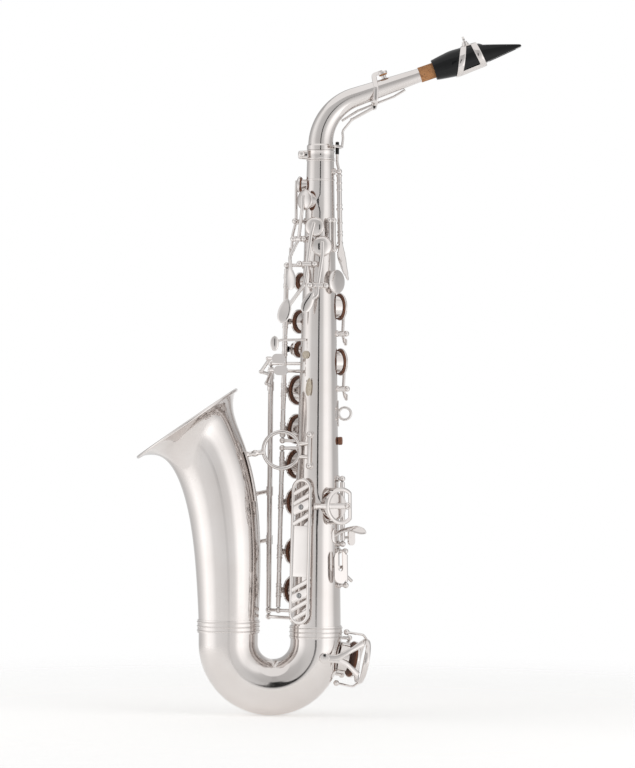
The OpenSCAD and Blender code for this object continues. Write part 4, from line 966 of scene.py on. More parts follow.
class SAX_OT_octave(bpy.types.Operator):
    """Draws the octave lever with its leaf-shaped thumb touch and the black sleeve on its pin"""
    bl_idname = "sax.octave"
    bl_label = "Octave lever"

    def execute(self, context):
        up = np.array([0, 0, MM])
        low, high = (along(share) for share in OCTAVE_SHARES)
        foot = off_tube(OCTAVE_TURN, low + OCTAVE_POST * MM, OCTAVE_OUT)
        head = off_tube(OCTAVE_TURN, high - OCTAVE_POST * MM, OCTAVE_OUT)
        half = COLLAR_HALF * MM * (head - foot) / np.linalg.norm(head - foot)
        parts = [bar(foot, head, HINGE_R * MM)]
        for share, r in OCTAVE_COLLARS:
            centre = foot + share * (head - foot)
            parts.append(bar(centre - half, centre + half, r * MM))
        a = math.radians(PIN_TURN)
        pin = spot(PIN_REACH * math.cos(a), PIN_REACH * math.sin(a), PIN_Z)
        tip = pin + PIN_LONG * up
        arm = rounded([head - 3 * up, head + np.array(PIN_ARM_OFF) * MM, pin - 8 * up, pin], 5 * MM)
        leaf = rounded([foot + 4 * up, *spots(LEAF_STOPS)], 6 * MM)
        leaf_wide = curve(LEAF_WIDE, np.linspace(0, 1, len(leaf)))
        curl = rounded(spots(CURL_STOPS), 2 * MM)
        parts += [
            sweep(arm, PIN_ARM_WIDE * MM, PIN_ARM_THICK * MM, (1, 0, 0)),
            bar(pin - up, tip, PIN_R * MM, MM),
            sweep(leaf, leaf_wide * MM, LEAF_THICK * MM, (1, 0.25, 0.35), 0.5 * MM, 24),
            sweep(curl, np.linspace(*CURL_WIDE, len(curl)) * MM, CURL_THICK * MM, (1, 0, 0.2)),
        ]
        piece("octave_thumb_lever", parts, "octave", "silver_plate", node="octave_lever")
        sleeve = bar(pin + 0.5 * up, tip, SLEEVE_R * MM, 0.4 * MM)
        piece("octave_sleeve", [sleeve], "octave", "ebonite", SHEET_EDGE)
        return {"FINISHED"}


# Small fittings in millimetres, placed by shares of the tube's height and degrees round it

# Strap ring, whose middle is the frame's origin: height, radius of the ring and its wire, and its plate's size
STRAP_SHARE, STRAP_R, STRAP_WIRE_R, STRAP_PLATE = 0.463, 6.05, 1.33, (26, 10)
# Neck socket: bore, outside, height and beads; its lugs' distance aside, reach, half sizes and rounding
SOCKET_BORE_R, SOCKET_R, SOCKET_TALL, SOCKET_BEAD = 12.15, 13.7, 9.5, 0.5
LUG_SIDE, LUG_FROM, LUG_TO = 3.1, 12.9, 20.5
LUG_TALL, LUG_THICK, LUG_ROUND = np.linspace(4.6, 4.0, 10), 2.3, 2.0
# Clamp screw: radius, skirt and dome of its head, the head's place and the stem's radius
SCREW_HEAD_R, SCREW_SKIRT, SCREW_DOME, SCREW_IN, SCREW_R = 3.3, 1.9, 2.2, 2.3, 1.5
# Twin tubes: turn and gap of each, heights for spot(), and radii of the tubes, ball heads and posts
TWIN_TUBES = ((-61, 4.6), (-47, 5.0))
TWIN_HEIGHTS = (466, 495)
TWIN_R, TWIN_BALL_R, TWIN_POST_R = 2.1, 2.9, 1.4
# Little finger's touches, for spot(): an oval on its arm, a drop on its foot and a round pearl; their half sizes
OVAL_AT, OVAL_LONG, OVAL_WIDE = (-44, -19, 372), 7.5, 4.2
OVAL_ARM = ((-44, -18, 373), (-38, -17, 375.5), (-13.5, -13.5, 376))
DROP_AT, DROP_LONG, DROP_WIDE = (-9.6, -20.5, 329), 9, 3.1
DROP_FOOT = ((-11, -15.5, 335), (-9.6, -20.3, 332))
PEARL_TURN, PEARL_Z, PEARL_R, PEARL_EDGE, PEARL_DOME = 228, 361, 4, 1.6, 1.1
FINGER_THICK, FINGER_ARM_WIDE, FINGER_ARM_THICK, FINGER_FOOT_R = 1.2, 1.3, 1.1, 1.3
# Thumb rest: its foot's profile, its edge's height and its dome; thumb hook: its place, yaw, length and plate
REST_TURN, REST_SHARE, REST_R = 320, 0.741, 12
REST_FOOT = ((0, 0.3), (5, 0.3), (5, 4.6), (6, 5.0), (REST_R - 0.7, 5.1), (REST_R - 0.1, 5.5))
REST_EDGE, REST_DOME, REST_FULL = 6.2, 2.1, 0.7
HOOK_TURN, HOOK_SHARE, HOOK_YAW, HOOK_LONG, HOOK_PLATE = 322, 0.205, 18, 33, (15, 9)
HOOK_WIDE = ((0, 3.2), (0.15, 2.6), (0.35, 2.3), (0.5, 3.0), (0.7, 4.6), (0.88, 4.2), (0.97, 2.6), (1, 1.2))
HOOK_THICK = ((0, 1.6), (0.3, 1.3), (1, 1.0))
# Rings at the top of the tube with their rise and half sizes, collars on the stack keys' hinges, and the bumper
TUBE_RING_SHARES = (0.998, 0.957)
TUBE_RING_OUT, TUBE_RING_THICK, TUBE_RING_HALF = 0.15, 0.55, 0.8
STACK_COLLARS, STACK_COLLAR_HALF, STACK_COLLAR_R = (-6, -3.4, 3.4, 6), 0.6, 2.95
BUMPER_TURN, BUMPER_SHARE = -8, 0.405
BUMPER_PROFILE = ((0, 0.2), (3.8, 0.2), (4.1, 0.8), (4.1, 3.4), (3.6, 4.2), (0, 4.3))


class SAX_OT_fittings(bpy.types.Operator):
    """Draws the small fittings: strap ring, neck socket, extra touches, thumb rest and hook, rings and bumper"""
    bl_idname = "sax.fittings"
    bl_label = "Small fittings"

    def execute(self, context):
        self.strap_ring()
        self.receiver()
        self.clamp_screw()
        self.twin_tubes()
        self.finger_table()
        self.thumb_rest()
        self.thumb_hook()
        self.tube_rings()
        self.stack_collars()
        self.bumper()
        return {"FINISHED"}

    def plate(self, degrees, z, long, wide):
        """A thin plate on the tube, long up the slope, with soft ends, that sags as a circle round the tube."""
        t = np.linspace(-0.99, 0.99, 25)
        line = np.stack([np.full(25, 0.35), np.zeros(25), t * long / 2], -1)
        points, faces = sweep(line, wide / 2 * (1 - np.abs(t) ** 3.5) ** 0.5, 0.75, (0, 1, 0), 0.1, 28)
        sag = points[:, 1] ** 2 / (2 * tube_r(z) / MM)
        return carried((points - sag[:, None] * [1, 0, 0], faces), on_tube(degrees, z))

    def upright(self, profile, z, sides):
        """A profile in millimetres, turned round the tube's axis at a height."""
        points, faces = lathe(profile, sides)
        return points[:, [1, 2, 0]] * MM + [AXIS_X, 0, z], faces

    def strap_ring(self):
        """A round ring of wire on a plate: a circle carried round a circle."""
        wire = STRAP_WIRE_R * MM
        ring = loop(circle(np.zeros(3), STRAP_R * MM, (1, 0, 0), (0, 0, 1)), wire, wire, (0, 1, 0))
        plate = self.plate(0, along(STRAP_SHARE), *STRAP_PLATE)
        piece("strap_eye", [ring, plate], "horn", "silver_plate", SHEET_EDGE, "strap_ring")

    def receiver(self):
        """The neck's socket: a turned ring with two beads, and two soft lugs for the clamp screw."""
        r, bead, tall = SOCKET_R, SOCKET_R + SOCKET_BEAD, SOCKET_TALL
        profile = np.array([
            [SOCKET_BORE_R, 0], [r, 0], [bead, 0.5], [bead, 1.3], [r, 1.9], [r, tall - 1.9], [bead, tall - 1.3],
            [bead, tall - 0.4], [r, tall], [SOCKET_BORE_R, tall], [SOCKET_BORE_R, 0],
        ])
        parts = [self.upright(profile, TUBE_TOP_Z, 96)]
        z = TUBE_TOP_Z + tall / 2 * MM
        for side in (-LUG_SIDE * MM, LUG_SIDE * MM):
            ends = ((AXIS_X - reach * MM, side, z) for reach in (LUG_FROM, LUG_TO))
            line = np.linspace(*ends, len(LUG_TALL))
            parts.append(sweep(line, LUG_TALL * MM, LUG_THICK * MM, (0, 0, 1), LUG_ROUND * MM, 32))
        piece("neck_socket", parts, "horn", "silver_plate", node="neck_receiver")

    def clamp_screw(self):
        """A domed head, turned round the screw's axis, and its stem through the lugs."""
        x, _, z = middle("neck_screw")
        low, high = (corner.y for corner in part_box("neck_screw"))
        skirt = [[0, -SCREW_SKIRT], [SCREW_HEAD_R, -SCREW_SKIRT]]
        points, faces = lathe(np.concatenate([skirt, dome(SCREW_HEAD_R, 0, SCREW_DOME, 12)]), 40)
        place = np.array([x, low + SCREW_IN * MM, z])
        head = place + points[:, [1, 0, 2]] * [MM, -MM, MM], faces
        piece("clamp_screw", [head, bar(place, (x, high, z), SCREW_R * MM)], "neck_clamp", "silver_plate",
              node="neck_screw")

    def twin_tubes(self):
        """Two short tubes side by side beside the octave lever, each between ball-headed posts."""
        parts = []
        for degrees, out in TWIN_TUBES:
            low, high = (off_tube(degrees, spot(0, 0, z)[2], out) for z in TWIN_HEIGHTS)
            parts.append(bar(low, high, TWIN_R * MM))
            for end in (low, high):
                foot = off_tube(degrees, end[2], 0.2)
                parts += [ball(end, TWIN_BALL_R * MM), bar(end, foot, TWIN_POST_R * MM)]
        piece("twin_tubes", parts, "horn", "silver_plate")

    def finger_table(self):
        """The little finger's oval touch on its thin arm, and a pearl and a drop-shaped pearl by the tube."""
        t = np.linspace(-OVAL_END, OVAL_END, 25)
        half = np.sqrt(1 - t ** 2)
        thick = (FINGER_THICK * half + 0.1) * MM
        oval = sweep(spot(*OVAL_AT) + t[:, None] * [0, 0, OVAL_LONG * MM], OVAL_WIDE * half * MM, thick,
                     (1, 0, 0), 0.1 * MM, 28)
        arm = sweep(rounded(spots(OVAL_ARM), 5 * MM), FINGER_ARM_WIDE * MM, FINGER_ARM_THICK * MM, (0, 0, 1))
        foot = bar(*spots(DROP_FOOT), FINGER_FOOT_R * MM)
        piece("finger_table", [oval, arm, foot], "horn", "silver_plate")
        drop = sweep(spot(*DROP_AT) + t[:, None] * [0.6 * MM, 0, DROP_LONG * MM],
                     DROP_WIDE * half * (1 - 0.25 * t) * MM, thick, (1, 0.4, 0), 0.1 * MM, 28)
        piece("finger_drop", [drop], "horn", "pearl")
        pearl = lathe(np.concatenate([[[0, 0.3], [PEARL_R, 0.3]], dome(PEARL_R, PEARL_EDGE, PEARL_DOME, 12)]), 40)
        piece("finger_pearl", [carried(pearl, on_tube(PEARL_TURN, spot(0, 0, PEARL_Z)[2]))], "horn", "pearl")

    def thumb_rest(self):
        """A domed button on a short foot, turned round the line out of the tube."""
        top = dome(REST_R, REST_EDGE, REST_DOME, 18, REST_FULL)
        button = lathe(np.concatenate([REST_FOOT, top]), 64)
        place = on_tube(REST_TURN, along(REST_SHARE))
        piece("thumb_button", [carried(button, place)], "horn", "silver_plate", node="thumb_rest")

    def thumb_hook(self):
        """A spoon on a plate: its line rises in an S and its width swells towards the tip like a teardrop."""
        z = along(HOOK_SHARE)
        place = on_tube(HOOK_TURN, z) @ turn("Z", math.radians(HOOK_YAW))
        u = np.linspace(0, 1, 40)
        line = np.stack([HOOK_LONG * u - 0.6, np.zeros(40), 0.7 + 6 * np.sin(np.radians(160) * u)], -1)
        spoon = sweep(line, curve(HOOK_WIDE, u), curve(HOOK_THICK, u), (0, 0.75, 1), 0.5, 24)
        parts = [carried(spoon, place), self.plate(HOOK_TURN, z, *HOOK_PLATE)]
        piece("thumb_spoon", parts, "horn", "silver_plate", node="thumb_hook")

    def tube_rings(self):
        """Two raised lines round the top of the tube, each an ellipse carried round it."""
        b = np.linspace(0, 2 * np.pi, 13)
        parts = []
        for z in (along(share) for share in TUBE_RING_SHARES):
            out = tube_r(z) / MM + TUBE_RING_OUT + TUBE_RING_THICK * np.cos(b)
            profile = np.stack([out, TUBE_RING_HALF * np.sin(b)], -1)
            parts.append(self.upright(profile, z, 72))
        piece("tube_top_rings", parts, "horn", "silver_plate", SHEET_EDGE)

    def stack_collars(self):
        """Short bars round the hinge tube of each stack key."""
        half = STACK_COLLAR_HALF
        bars = [bar((0, 0, at - half), (0, 0, at + half), STACK_COLLAR_R) for at in STACK_COLLARS]
        hinge = move(STACK_HINGE_MM[0] * MM, STACK_HINGE_MM[1] * MM, 0)
        for k, share in enumerate(STACK_SHARES, 1):
            place = on_tube(STACK_TURN, along(share)) @ hinge
            piece(f"stack_{k}_collars", [carried(b, place) for b in bars], f"stack_{k}", "silver_plate")

    def bumper(self):
        """A felt button behind the tube, turned round the line out of it."""
        felt = lathe(np.array(BUMPER_PROFILE), 40)
        place = on_tube(BUMPER_TURN, along(BUMPER_SHARE))
        piece("felt_bumper", [carried(felt, place)], "horn", "pad_leather")


# Bell brace in millimetres: its height on the tube, the ring's radius, lap on the tube, place aside and half sizes
BRACE_SHARE, BRACE_R, BRACE_LAP, BRACE_SIDE = 0.385, 18.2, 3, -15
BRACE_WIDE, BRACE_THICK = 1.95, 2.2
# The stem's foot: distance along the bell, turn round it and gap; its radius along the stem
BRACE_FOOT = (162, -24, 2.3)
STEM_R = (
    (0, 3.6), (0.12, 2.6), (0.3, 2.3), (0.42, 3.1), (0.5, 3.4), (0.58, 3.1), (0.7, 2.3), (0.88, 2.6), (1, 3.8),
)
# The strip under the foot: from and to along the bell, gap, half width along it and half thickness
STRIP_FROM, STRIP_TO, STRIP_OUT = 165, 121, 1.5
STRIP_WIDE = ((0, 2.0), (0.08, 4.0), (0.3, 3.6), (0.6, 2.4), (1, 1.6))
STRIP_THICK = 1.15
# Two bolts on the tube: turn, distance from the ring's height and gap; radii of the rod, ball heads and bases
BOLT_TURN, BOLT_APART, BOLT_OUT = 249, 15.5, 3.4
BOLT_R, BOLT_BALL_R, BOLT_BASE_R = 1.8, 3, 3.8
# The arms to the rod: the angle at which they leave the ring, their distance apart on the rod, and half sizes
BRACE_ARM_AT, BRACE_ARM_APART = math.radians(20), 7
BRACE_ARM_WIDE, BRACE_ARM_THICK = np.linspace(2.4, 1.6, 12), 1.6


class SAX_OT_brace(bpy.types.Operator):
    """Draws the brace between tube and bell: a ring, a turned stem with its foot, and two bolts on the tube"""
    bl_idname = "sax.brace"
    bl_label = "Bell brace"

    def execute(self, context):
        z = along(BRACE_SHARE)
        r = BRACE_R * MM
        centre = np.array([AXIS_X - tube_r(z) + (BRACE_LAP - BRACE_R) * MM, BRACE_SIDE * MM, z])
        ring = loop(circle(centre, r, (1, 0, 0), (0, 0, 1), 96), BRACE_WIDE * MM, BRACE_THICK * MM, (0, 1, 0))
        u = np.linspace(0, 1, 48)
        near, foot = centre - np.array([BRACE_R, 0, 2]) * MM, off_bell(*BRACE_FOOT)[0]
        turned = curve(STEM_R, u) * MM
        stem = sweep(near + u[:, None] * (foot - near), turned, turned, (0, 1, 0), 0.3 * MM, 28)
        u = np.linspace(0, 1, 40)
        line = off_bell(np.linspace(STRIP_FROM, STRIP_TO, 40), BRACE_FOOT[1], STRIP_OUT)
        strip = sweep(line, curve(STRIP_WIDE, u) * MM, STRIP_THICK * MM, (0, 1, 0), 0.5 * MM)
        bolts = [off_tube(BOLT_TURN, z + side * BOLT_APART * MM, BOLT_OUT) for side in (-1, 1)]
        parts = [ring, stem, strip, bar(*bolts, BOLT_R * MM)]
        for side, bolt in zip((-1, 1), bolts):
            base = (off_tube(BOLT_TURN, bolt[2], out) for out in (0.2, 1.6))
            parts += [ball(bolt, BOLT_BALL_R * MM), bar(*base, BOLT_BASE_R * MM)]
            leave = centre + r * np.array([math.cos(BRACE_ARM_AT), 0, side * math.sin(BRACE_ARM_AT)])
            meet = (bolts[0] + bolts[1]) / 2 + [0, 0, side * BRACE_ARM_APART * MM]
            arm = np.linspace(leave, meet, len(BRACE_ARM_WIDE))
            parts.append(sweep(arm, BRACE_ARM_WIDE * MM, BRACE_ARM_THICK * MM, (0, 0, 1)))
        piece("brace_ring", parts, "horn", "silver_plate", node="bell_brace")
        return {"FINISHED"}


# Key guards in millimetres from the wall under each key; stock is the half width and half thickness of a strip

# Low C: the hoop's height and radius, the bar over it, and the legs' stops and feet on one side of the key
HOOP_OUT, HOOP_R = 23.2, 22
HOOP_BAR_OUT, HOOP_BAR_HALF = 25.0, 21.5
HOOP_LEG = ((24, -2, 21), (18, -4, 26.5), (1.0, -5, 26))
HOOP_FOOT, HOOP_FOOT_R = (0.6, -5, 26), 3
HOOP_STOCK, HOOP_BAR_STOCK, HOOP_LEG_STOCK = (1.0, 2.7), (2.2, 0.9), (2.3, 1.2)
# The disc on the bow, for spot(), and the two bands from it to the hoop with their half widths
HUB_AT, HUB_R = (9.0, -25.6, 59.5), 5.0
HUB_BANDS = (
    (HUB_AT, (22, -24.5, 60), (33, -22, 66), (47, -17, 74)),
    (HUB_AT, (22, -24.5, 58), (32, -22, 53), (42, -17, 43)),
)
HUB_BAND_WIDE, HUB_BAND_THICK = ((0, 4.2), (0.35, 3.2), (0.7, 2.6), (1, 3.4)), 1.0
# E flat: height and radius of the D, and where its straight side cuts it; the bar across it; the ring on the bar
D_OUT, D_R, D_CUT, D_LEG = 16.9, 16.6, 11, 16.7
D_BAR = ((0.4, -21, 0), (8, -20, 0), (D_OUT, -D_R, 0), (D_OUT, -4, 0), (D_OUT, 11.5, 0))
D_BAR_WIDE = ((0, 3.4), (0.25, 2.2), (0.5, 2.6), (0.85, 3.0), (1, 2.0))
D_RING_AT, D_RING_R = (17.9, 7.4, 0), 2.5
D_STOCK, D_RING_STOCK, D_BAR_THICK = (2.1, 0.9), (1.1, 1.5), 1.0
D_LEG_TOP, D_LEG_FOOT, D_LEG_R = 16.8, 0.3, 1.6
# Bell keys: the ring's height and lap over the pad, the turns of its legs in degrees, and their knees and feet
BELL_GUARD_OUT, BELL_GUARD_LAP = 23.9, 1
BELL_GUARD_LEGS = {"low_b": (40, 100, 160), "low_b_flat": (20, 80, 140)}
BELL_KNEE_OUT, BELL_KNEE_PAST, BELL_FOOT_PAST, BELL_FOOT_OUT = 18, 4, 3.4, 1.0
BELL_RING_STOCK, BELL_BAR_STOCK, BELL_LEG_STOCK = (1.9, 0.95), (2.0, 0.95), (2.2, 1.3)
# Long cover over the lower stack: its place, half width, half length without its round ends, and height
COVER_TURN, COVER_SHARE = 237, 0.172
COVER_HALF, COVER_STRAIGHT, COVER_OUT = 10.1, 61, 6.75
COVER_PLATE_HALF = 25
# Slanting bars and feet: heights along the cover, half span, and the lower and upper ends' slant
COVER_BARS, BAR_SPAN, BAR_SLANT = (-63, -53, -33, 33, 53, 63), 9.6, (-6, 4)
COVER_FEET, FOOT_SPAN, FOOT_SLANT = (-44, 44), 9.8, (-4, 4)
COVER_RIM_STOCK, COVER_PLATE_STOCK = (1.9, 0.95), (9.6, 0.8)
COVER_BAR_STOCK, COVER_FOOT_STOCK, COVER_FOOT_R = (2.3, 0.75), (4.6, 0.75), 3.4


class SAX_OT_guards(bpy.types.Operator):
    """Draws the key guards as bent flat bands and the long plate over the lower stack with its slanting slots"""
    bl_idname = "sax.guards"
    bl_label = "Key guards"

    def execute(self, context):
        parts = self.low_c() + self.e_flat()
        for body, (distance, radius) in BELL_KEYS.items():
            parts += self.on_the_bell(distance, radius, BELL_GUARD_LEGS[body])
        piece("guard_bands", parts, "horn", "silver_plate", node="key_guards")
        piece("guard_cover", self.cover(), "horn", "silver_plate", node="guard_plate")
        return {"FINISHED"}

    def low_c(self):
        """A hoop of strip round the key, a bar over it, two broad bands from a disc on the bow and two legs."""
        place = on_bow(LOW_C_BEND, LOW_C_ROLL)
        hoop = loop(circle((HOOP_OUT, 0, 0), HOOP_R, (0, 1, 0), (0, 0, 1)), *HOOP_STOCK, (1, 0, 0))
        over = np.linspace((HOOP_BAR_OUT, 0, -HOOP_BAR_HALF), (HOOP_BAR_OUT, 0, HOOP_BAR_HALF), 24)
        parts = [hoop, sweep(over, *HOOP_BAR_STOCK, (0, 1, 0))]
        for side in (-1, 1):
            mirror = np.array([1, 1, side])
            leg = rounded(HOOP_LEG * mirror, 5)
            parts += [sweep(leg, *HOOP_LEG_STOCK, (0, 1, 0)), ball(HOOP_FOOT * mirror, HOOP_FOOT_R)]
        parts = [carried(part, place) for part in parts]
        for stops in HUB_BANDS:
            line = rounded(spots(stops), 8 * MM)
            wide = curve(HUB_BAND_WIDE, np.linspace(0, 1, len(line)))
            parts.append(sweep(line, wide * MM, HUB_BAND_THICK * MM, (0, 0.15, 1), 0.5 * MM))
        hub = spot(*HUB_AT)
        parts.append(bar(hub + [0, 1.2 * MM, 0], hub - [0, 1.3 * MM, 0], HUB_R * MM))
        return parts

    def e_flat(self):
        """A D of flat strip over the key, a broad bar across it with a ring, and two legs."""
        degrees, share, _ = SMALL_KEYS["e_flat"]
        place = on_tube(degrees, along(share))
        start = math.acos(D_CUT / D_R)
        a = np.linspace(start, 2 * math.pi - start, 60)
        bow = np.stack([np.full(60, D_OUT), D_R * np.cos(a), D_R * np.sin(a)], -1)
        straight = np.linspace(bow[-1], bow[0], 20)[1:-1]
        across = rounded(D_BAR, 5)
        wide = curve(D_BAR_WIDE, np.linspace(0, 1, len(across)))
        parts = [
            loop(np.concatenate([bow, straight]), *D_STOCK, (1, 0, 0)),
            sweep(across, wide, D_BAR_THICK, (0, 0, 1)),
            loop(circle(D_RING_AT, D_RING_R, (0, 1, 0), (0, 0, 1), 40), *D_RING_STOCK, (1, 0, 0)),
            *(bar((D_LEG_TOP, 0, z), (D_LEG_FOOT, 0, z), D_LEG_R) for z in (-D_LEG, D_LEG)),
        ]
        return [carried(part, place) for part in parts]

    def on_the_bell(self, distance, radius, turns):
        """A flat ring over a bell key with a bar across it, on legs that bend out and down to the wall."""
        place = on_bell(distance * MM)
        wall = bell_line(np.array([distance * MM]))[2][0] / MM
        over = np.array([BELL_GUARD_OUT, 0, 0])
        ring = radius - BELL_GUARD_LAP
        across = np.linspace(over - [0, 0, ring], over + [0, 0, ring], 12)
        parts = [loop(circle(over, ring, (0, 1, 0), (0, 0, 1)), *BELL_RING_STOCK, (1, 0, 0)),
                 sweep(across, *BELL_BAR_STOCK, (0, 1, 0))]
        for degrees in turns:
            aside = np.array([0, math.sin(math.radians(degrees)), math.cos(math.radians(degrees))])
            knee = (radius + BELL_KNEE_PAST) * aside + [BELL_KNEE_OUT, 0, 0]
            foot = (radius + BELL_FOOT_PAST) * aside
            foot[0] = math.sqrt(wall ** 2 - foot[1] ** 2) - wall + BELL_FOOT_OUT
            leg = rounded([ring * aside + over, knee, foot], 5)
            parts.append(sweep(leg, *BELL_LEG_STOCK, np.cross(aside, [1, 0, 0])))
        return [carried(part, place) for part in parts]

    def cover(self):
        """A long rim with round ends, a plain middle and slanting bars, on two feet."""
        place = on_tube(COVER_TURN, along(COVER_SHARE))
        out, half, straight = COVER_OUT, COVER_HALF, COVER_STRAIGHT
        a = np.linspace(0, math.pi, 24)
        end = np.stack([np.full(24, out), half * np.cos(a), straight + half * np.sin(a)], -1)
        side = np.linspace((out, -half, straight), (out, -half, -straight), 50)[1:-1]
        opposite = np.array([1, -1, -1])
        plate = np.linspace((out, 0, -COVER_PLATE_HALF), (out, 0, COVER_PLATE_HALF), 12)
        parts = [loop(np.concatenate([end, side, end * opposite, side * opposite]), *COVER_RIM_STOCK, (1, 0, 0)),
                 sweep(plate, *COVER_PLATE_STOCK, (0, 1, 0), 0.4, 40)]
        for z in COVER_BARS:
            parts.append(self.slant(z, BAR_SPAN, BAR_SLANT, COVER_BAR_STOCK))
        for z in COVER_FEET:
            parts.append(self.slant(z, FOOT_SPAN, FOOT_SLANT, COVER_FOOT_STOCK))
            parts.append(bar((0.3, 0, z), (out, 0, z), COVER_FOOT_R))
        return [carried(part, place) for part in parts]

    def slant(self, z, span, slant, stock):
        """A strip across the cover, from one side of its rim to the other."""
        low, high = slant
        line = np.linspace((COVER_OUT, -span, z + low), (COVER_OUT, span, z + high), 12)
        return sweep(line, *stock, (0, 0, 1))


# Neck octave key in millimetres: runs along the neck of its knee, hinge and vent, and the gaps under the neck
KNEE_RUN, HINGE_RUN, VENT_RUN = 46, 77, 96
KNEE_GAP, HINGE_GAP = 8, 6.5
# The loop round the tenon: radius, height for spot(), half angle and stock
LOOP_R, LOOP_Z, LOOP_HALF, LOOP_STOCK = 21.3, 569.07, 48, 1.4
# The lever from the knee to the loop: its bend's run and gap, its last stop for spots(), half sizes and knee
LEVER_RUN, LEVER_GAP, LEVER_LAST = 22, 7, (22.3, 0, 577.7)
LEVER_STOCK, KNEE_R = (1.5 * MM, 1.2 * MM), 1.8
# The yoke's gap beside the neck and height over the cup, its runs up the side, half sizes, and its hinge's ends
YOKE_SIDE, YOKE_OVER = 3, 3.5
YOKE_RUNS = (80, 85, 87)
YOKE_STOCK, YOKE_LINK_STOCK = (2.4 * MM, 0.8 * MM), (1.4 * MM, 1.2 * MM)
YOKE_HINGE = (2.6, 8)
VENT_OUT = 3.3
VENT_CUP = ((0, 2.45), (4.05, 2.45), (4.1, 1.2), (4.5, 1.1), (4.8, 1.3), (4.8, 3.2), (4.3, 4.0), (0, 4.4))


class SAX_OT_neck_key(bpy.types.Operator):
    """Draws the neck's octave key: a loop round the tenon, a bent lever, a flat yoke and a small cup"""
    bl_idname = "sax.neck_key"
    bl_label = "Neck octave key"

    def execute(self, context):
        hinge_r = neck_radius(HINGE_RUN)
        hinge = off_neck(HINGE_RUN, -hinge_r - HINGE_GAP)
        knee = off_neck(KNEE_RUN, -neck_radius(KNEE_RUN) - KNEE_GAP)
        a = np.radians(np.linspace(-LOOP_HALF, LOOP_HALF, 60))
        ring = spots(np.stack([LOOP_R * np.cos(a), LOOP_R * np.sin(a), np.full(60, LOOP_Z)], -1))
        bend = off_neck(LEVER_RUN, -neck_radius(LEVER_RUN) - LEVER_GAP)
        lever = rounded([knee, bend, *spots((LEVER_LAST, (LOOP_R, 0, LOOP_Z)))], 9 * MM)
        parts = [
            sweep(ring, LOOP_STOCK * MM, LOOP_STOCK * MM, (0, 0, 1)),
            sweep(lever, *LEVER_STOCK, (0, 1, 0)),
            ball(knee, KNEE_R * MM),
        ]
        side = hinge_r + YOKE_SIDE
        low_run, side_run, top_run = YOKE_RUNS
        top = neck_radius(VENT_RUN) + VENT_OUT
        for way in (-1, 1):
            aside = np.array([0, way * MM, 0])
            band = rounded([
                hinge + 6 * aside, off_neck(low_run, -hinge_r - 2, way * side), off_neck(side_run, 2, way * side),
                off_neck(top_run, top + YOKE_OVER, way * 2.5), off_neck(VENT_RUN, top + YOKE_OVER),
            ], 6 * MM)
            parts += [
                bar(*(hinge + end * aside for end in YOKE_HINGE), HINGE_R * MM),
                sweep(rounded([hinge + 5 * aside, knee], MM), *YOKE_LINK_STOCK, (0, 0, 1)),
                sweep(band, *YOKE_STOCK, (1, 0, 0)),
            ]
        parts.append(self.vent_cup(top))
        piece("neck_key_lever", parts, "neck_octave", "silver_plate", node="neck_octave_key")
        return {"FINISHED"}

    def vent_cup(self, top):
        """The small cup over the vent, turned round the line out of the neck."""
        points, faces = lathe(np.array(VENT_CUP), 48)
        axis = (off_neck(VENT_RUN, 1) - off_neck(VENT_RUN, 0)) / MM
        axes = np.stack([axis, [0, 1, 0], np.cross(axis, [0, 1, 0])])
        return off_neck(VENT_RUN, top) + MM * (points @ axes), faces


# Along the mouthpiece from its shank, in millimetres: the turned radius, then the beak's two cuts and its middle
MOUTH_TURNED = (
    (0, 10.1), (1.2, 10.5), (10, 11.9), (19, 13.1), (24, 13.2), (36, 12.5), (50, 11.8), (72, 10.2), (90, 8.3),
)
MOUTH_TOP = ((0, 30), (50.2, 30), (51.2, 11.6), (54, 8.4), (88.5, -3.4), (90, -4.4))
MOUTH_TABLE = ((0, 30), (30, 30), (33, 12.2), (40, 11.1), (90, 6.0))
MOUTH_MIDDLE = ((0, 0), (44, 0), (90, -5.1))
# The window in the table: from, to, half width and depth; softness of its edges; the thickness that it leaves
MOUTH_WINDOW = (56.0, 84.0, 5.2, 6.5)
WINDOW_NEAR, WINDOW_FAR, WINDOW_SIDE = 0.6, 0.8, 0.5
WINDOW_LEAVES = 3.0
# The bore for the cork, from its end to the shank: along and radius
MOUTH_BORE = ((35.5, 0.0), (35.5, 7.85), (0.3, 7.85), (0.0, 8.1))
# Places of the rings, closer where the beak begins
MOUTH_RINGS = np.concatenate([np.linspace(0, 48, 60), np.linspace(49, 56, 36), np.linspace(57, 90, 90)])
MOUTH_SIDES = 120
# Power of the mean that rounds the edges, and the least thickness at the tip
MOUTH_POWER = 16.0
TIP_HALF = 0.4


def step(low, high, value):
    """0 below low, 1 above high, and an S between them."""
    t = np.clip((value - low) / (high - low), 0, 1)
    return t * t * (3 - 2 * t)


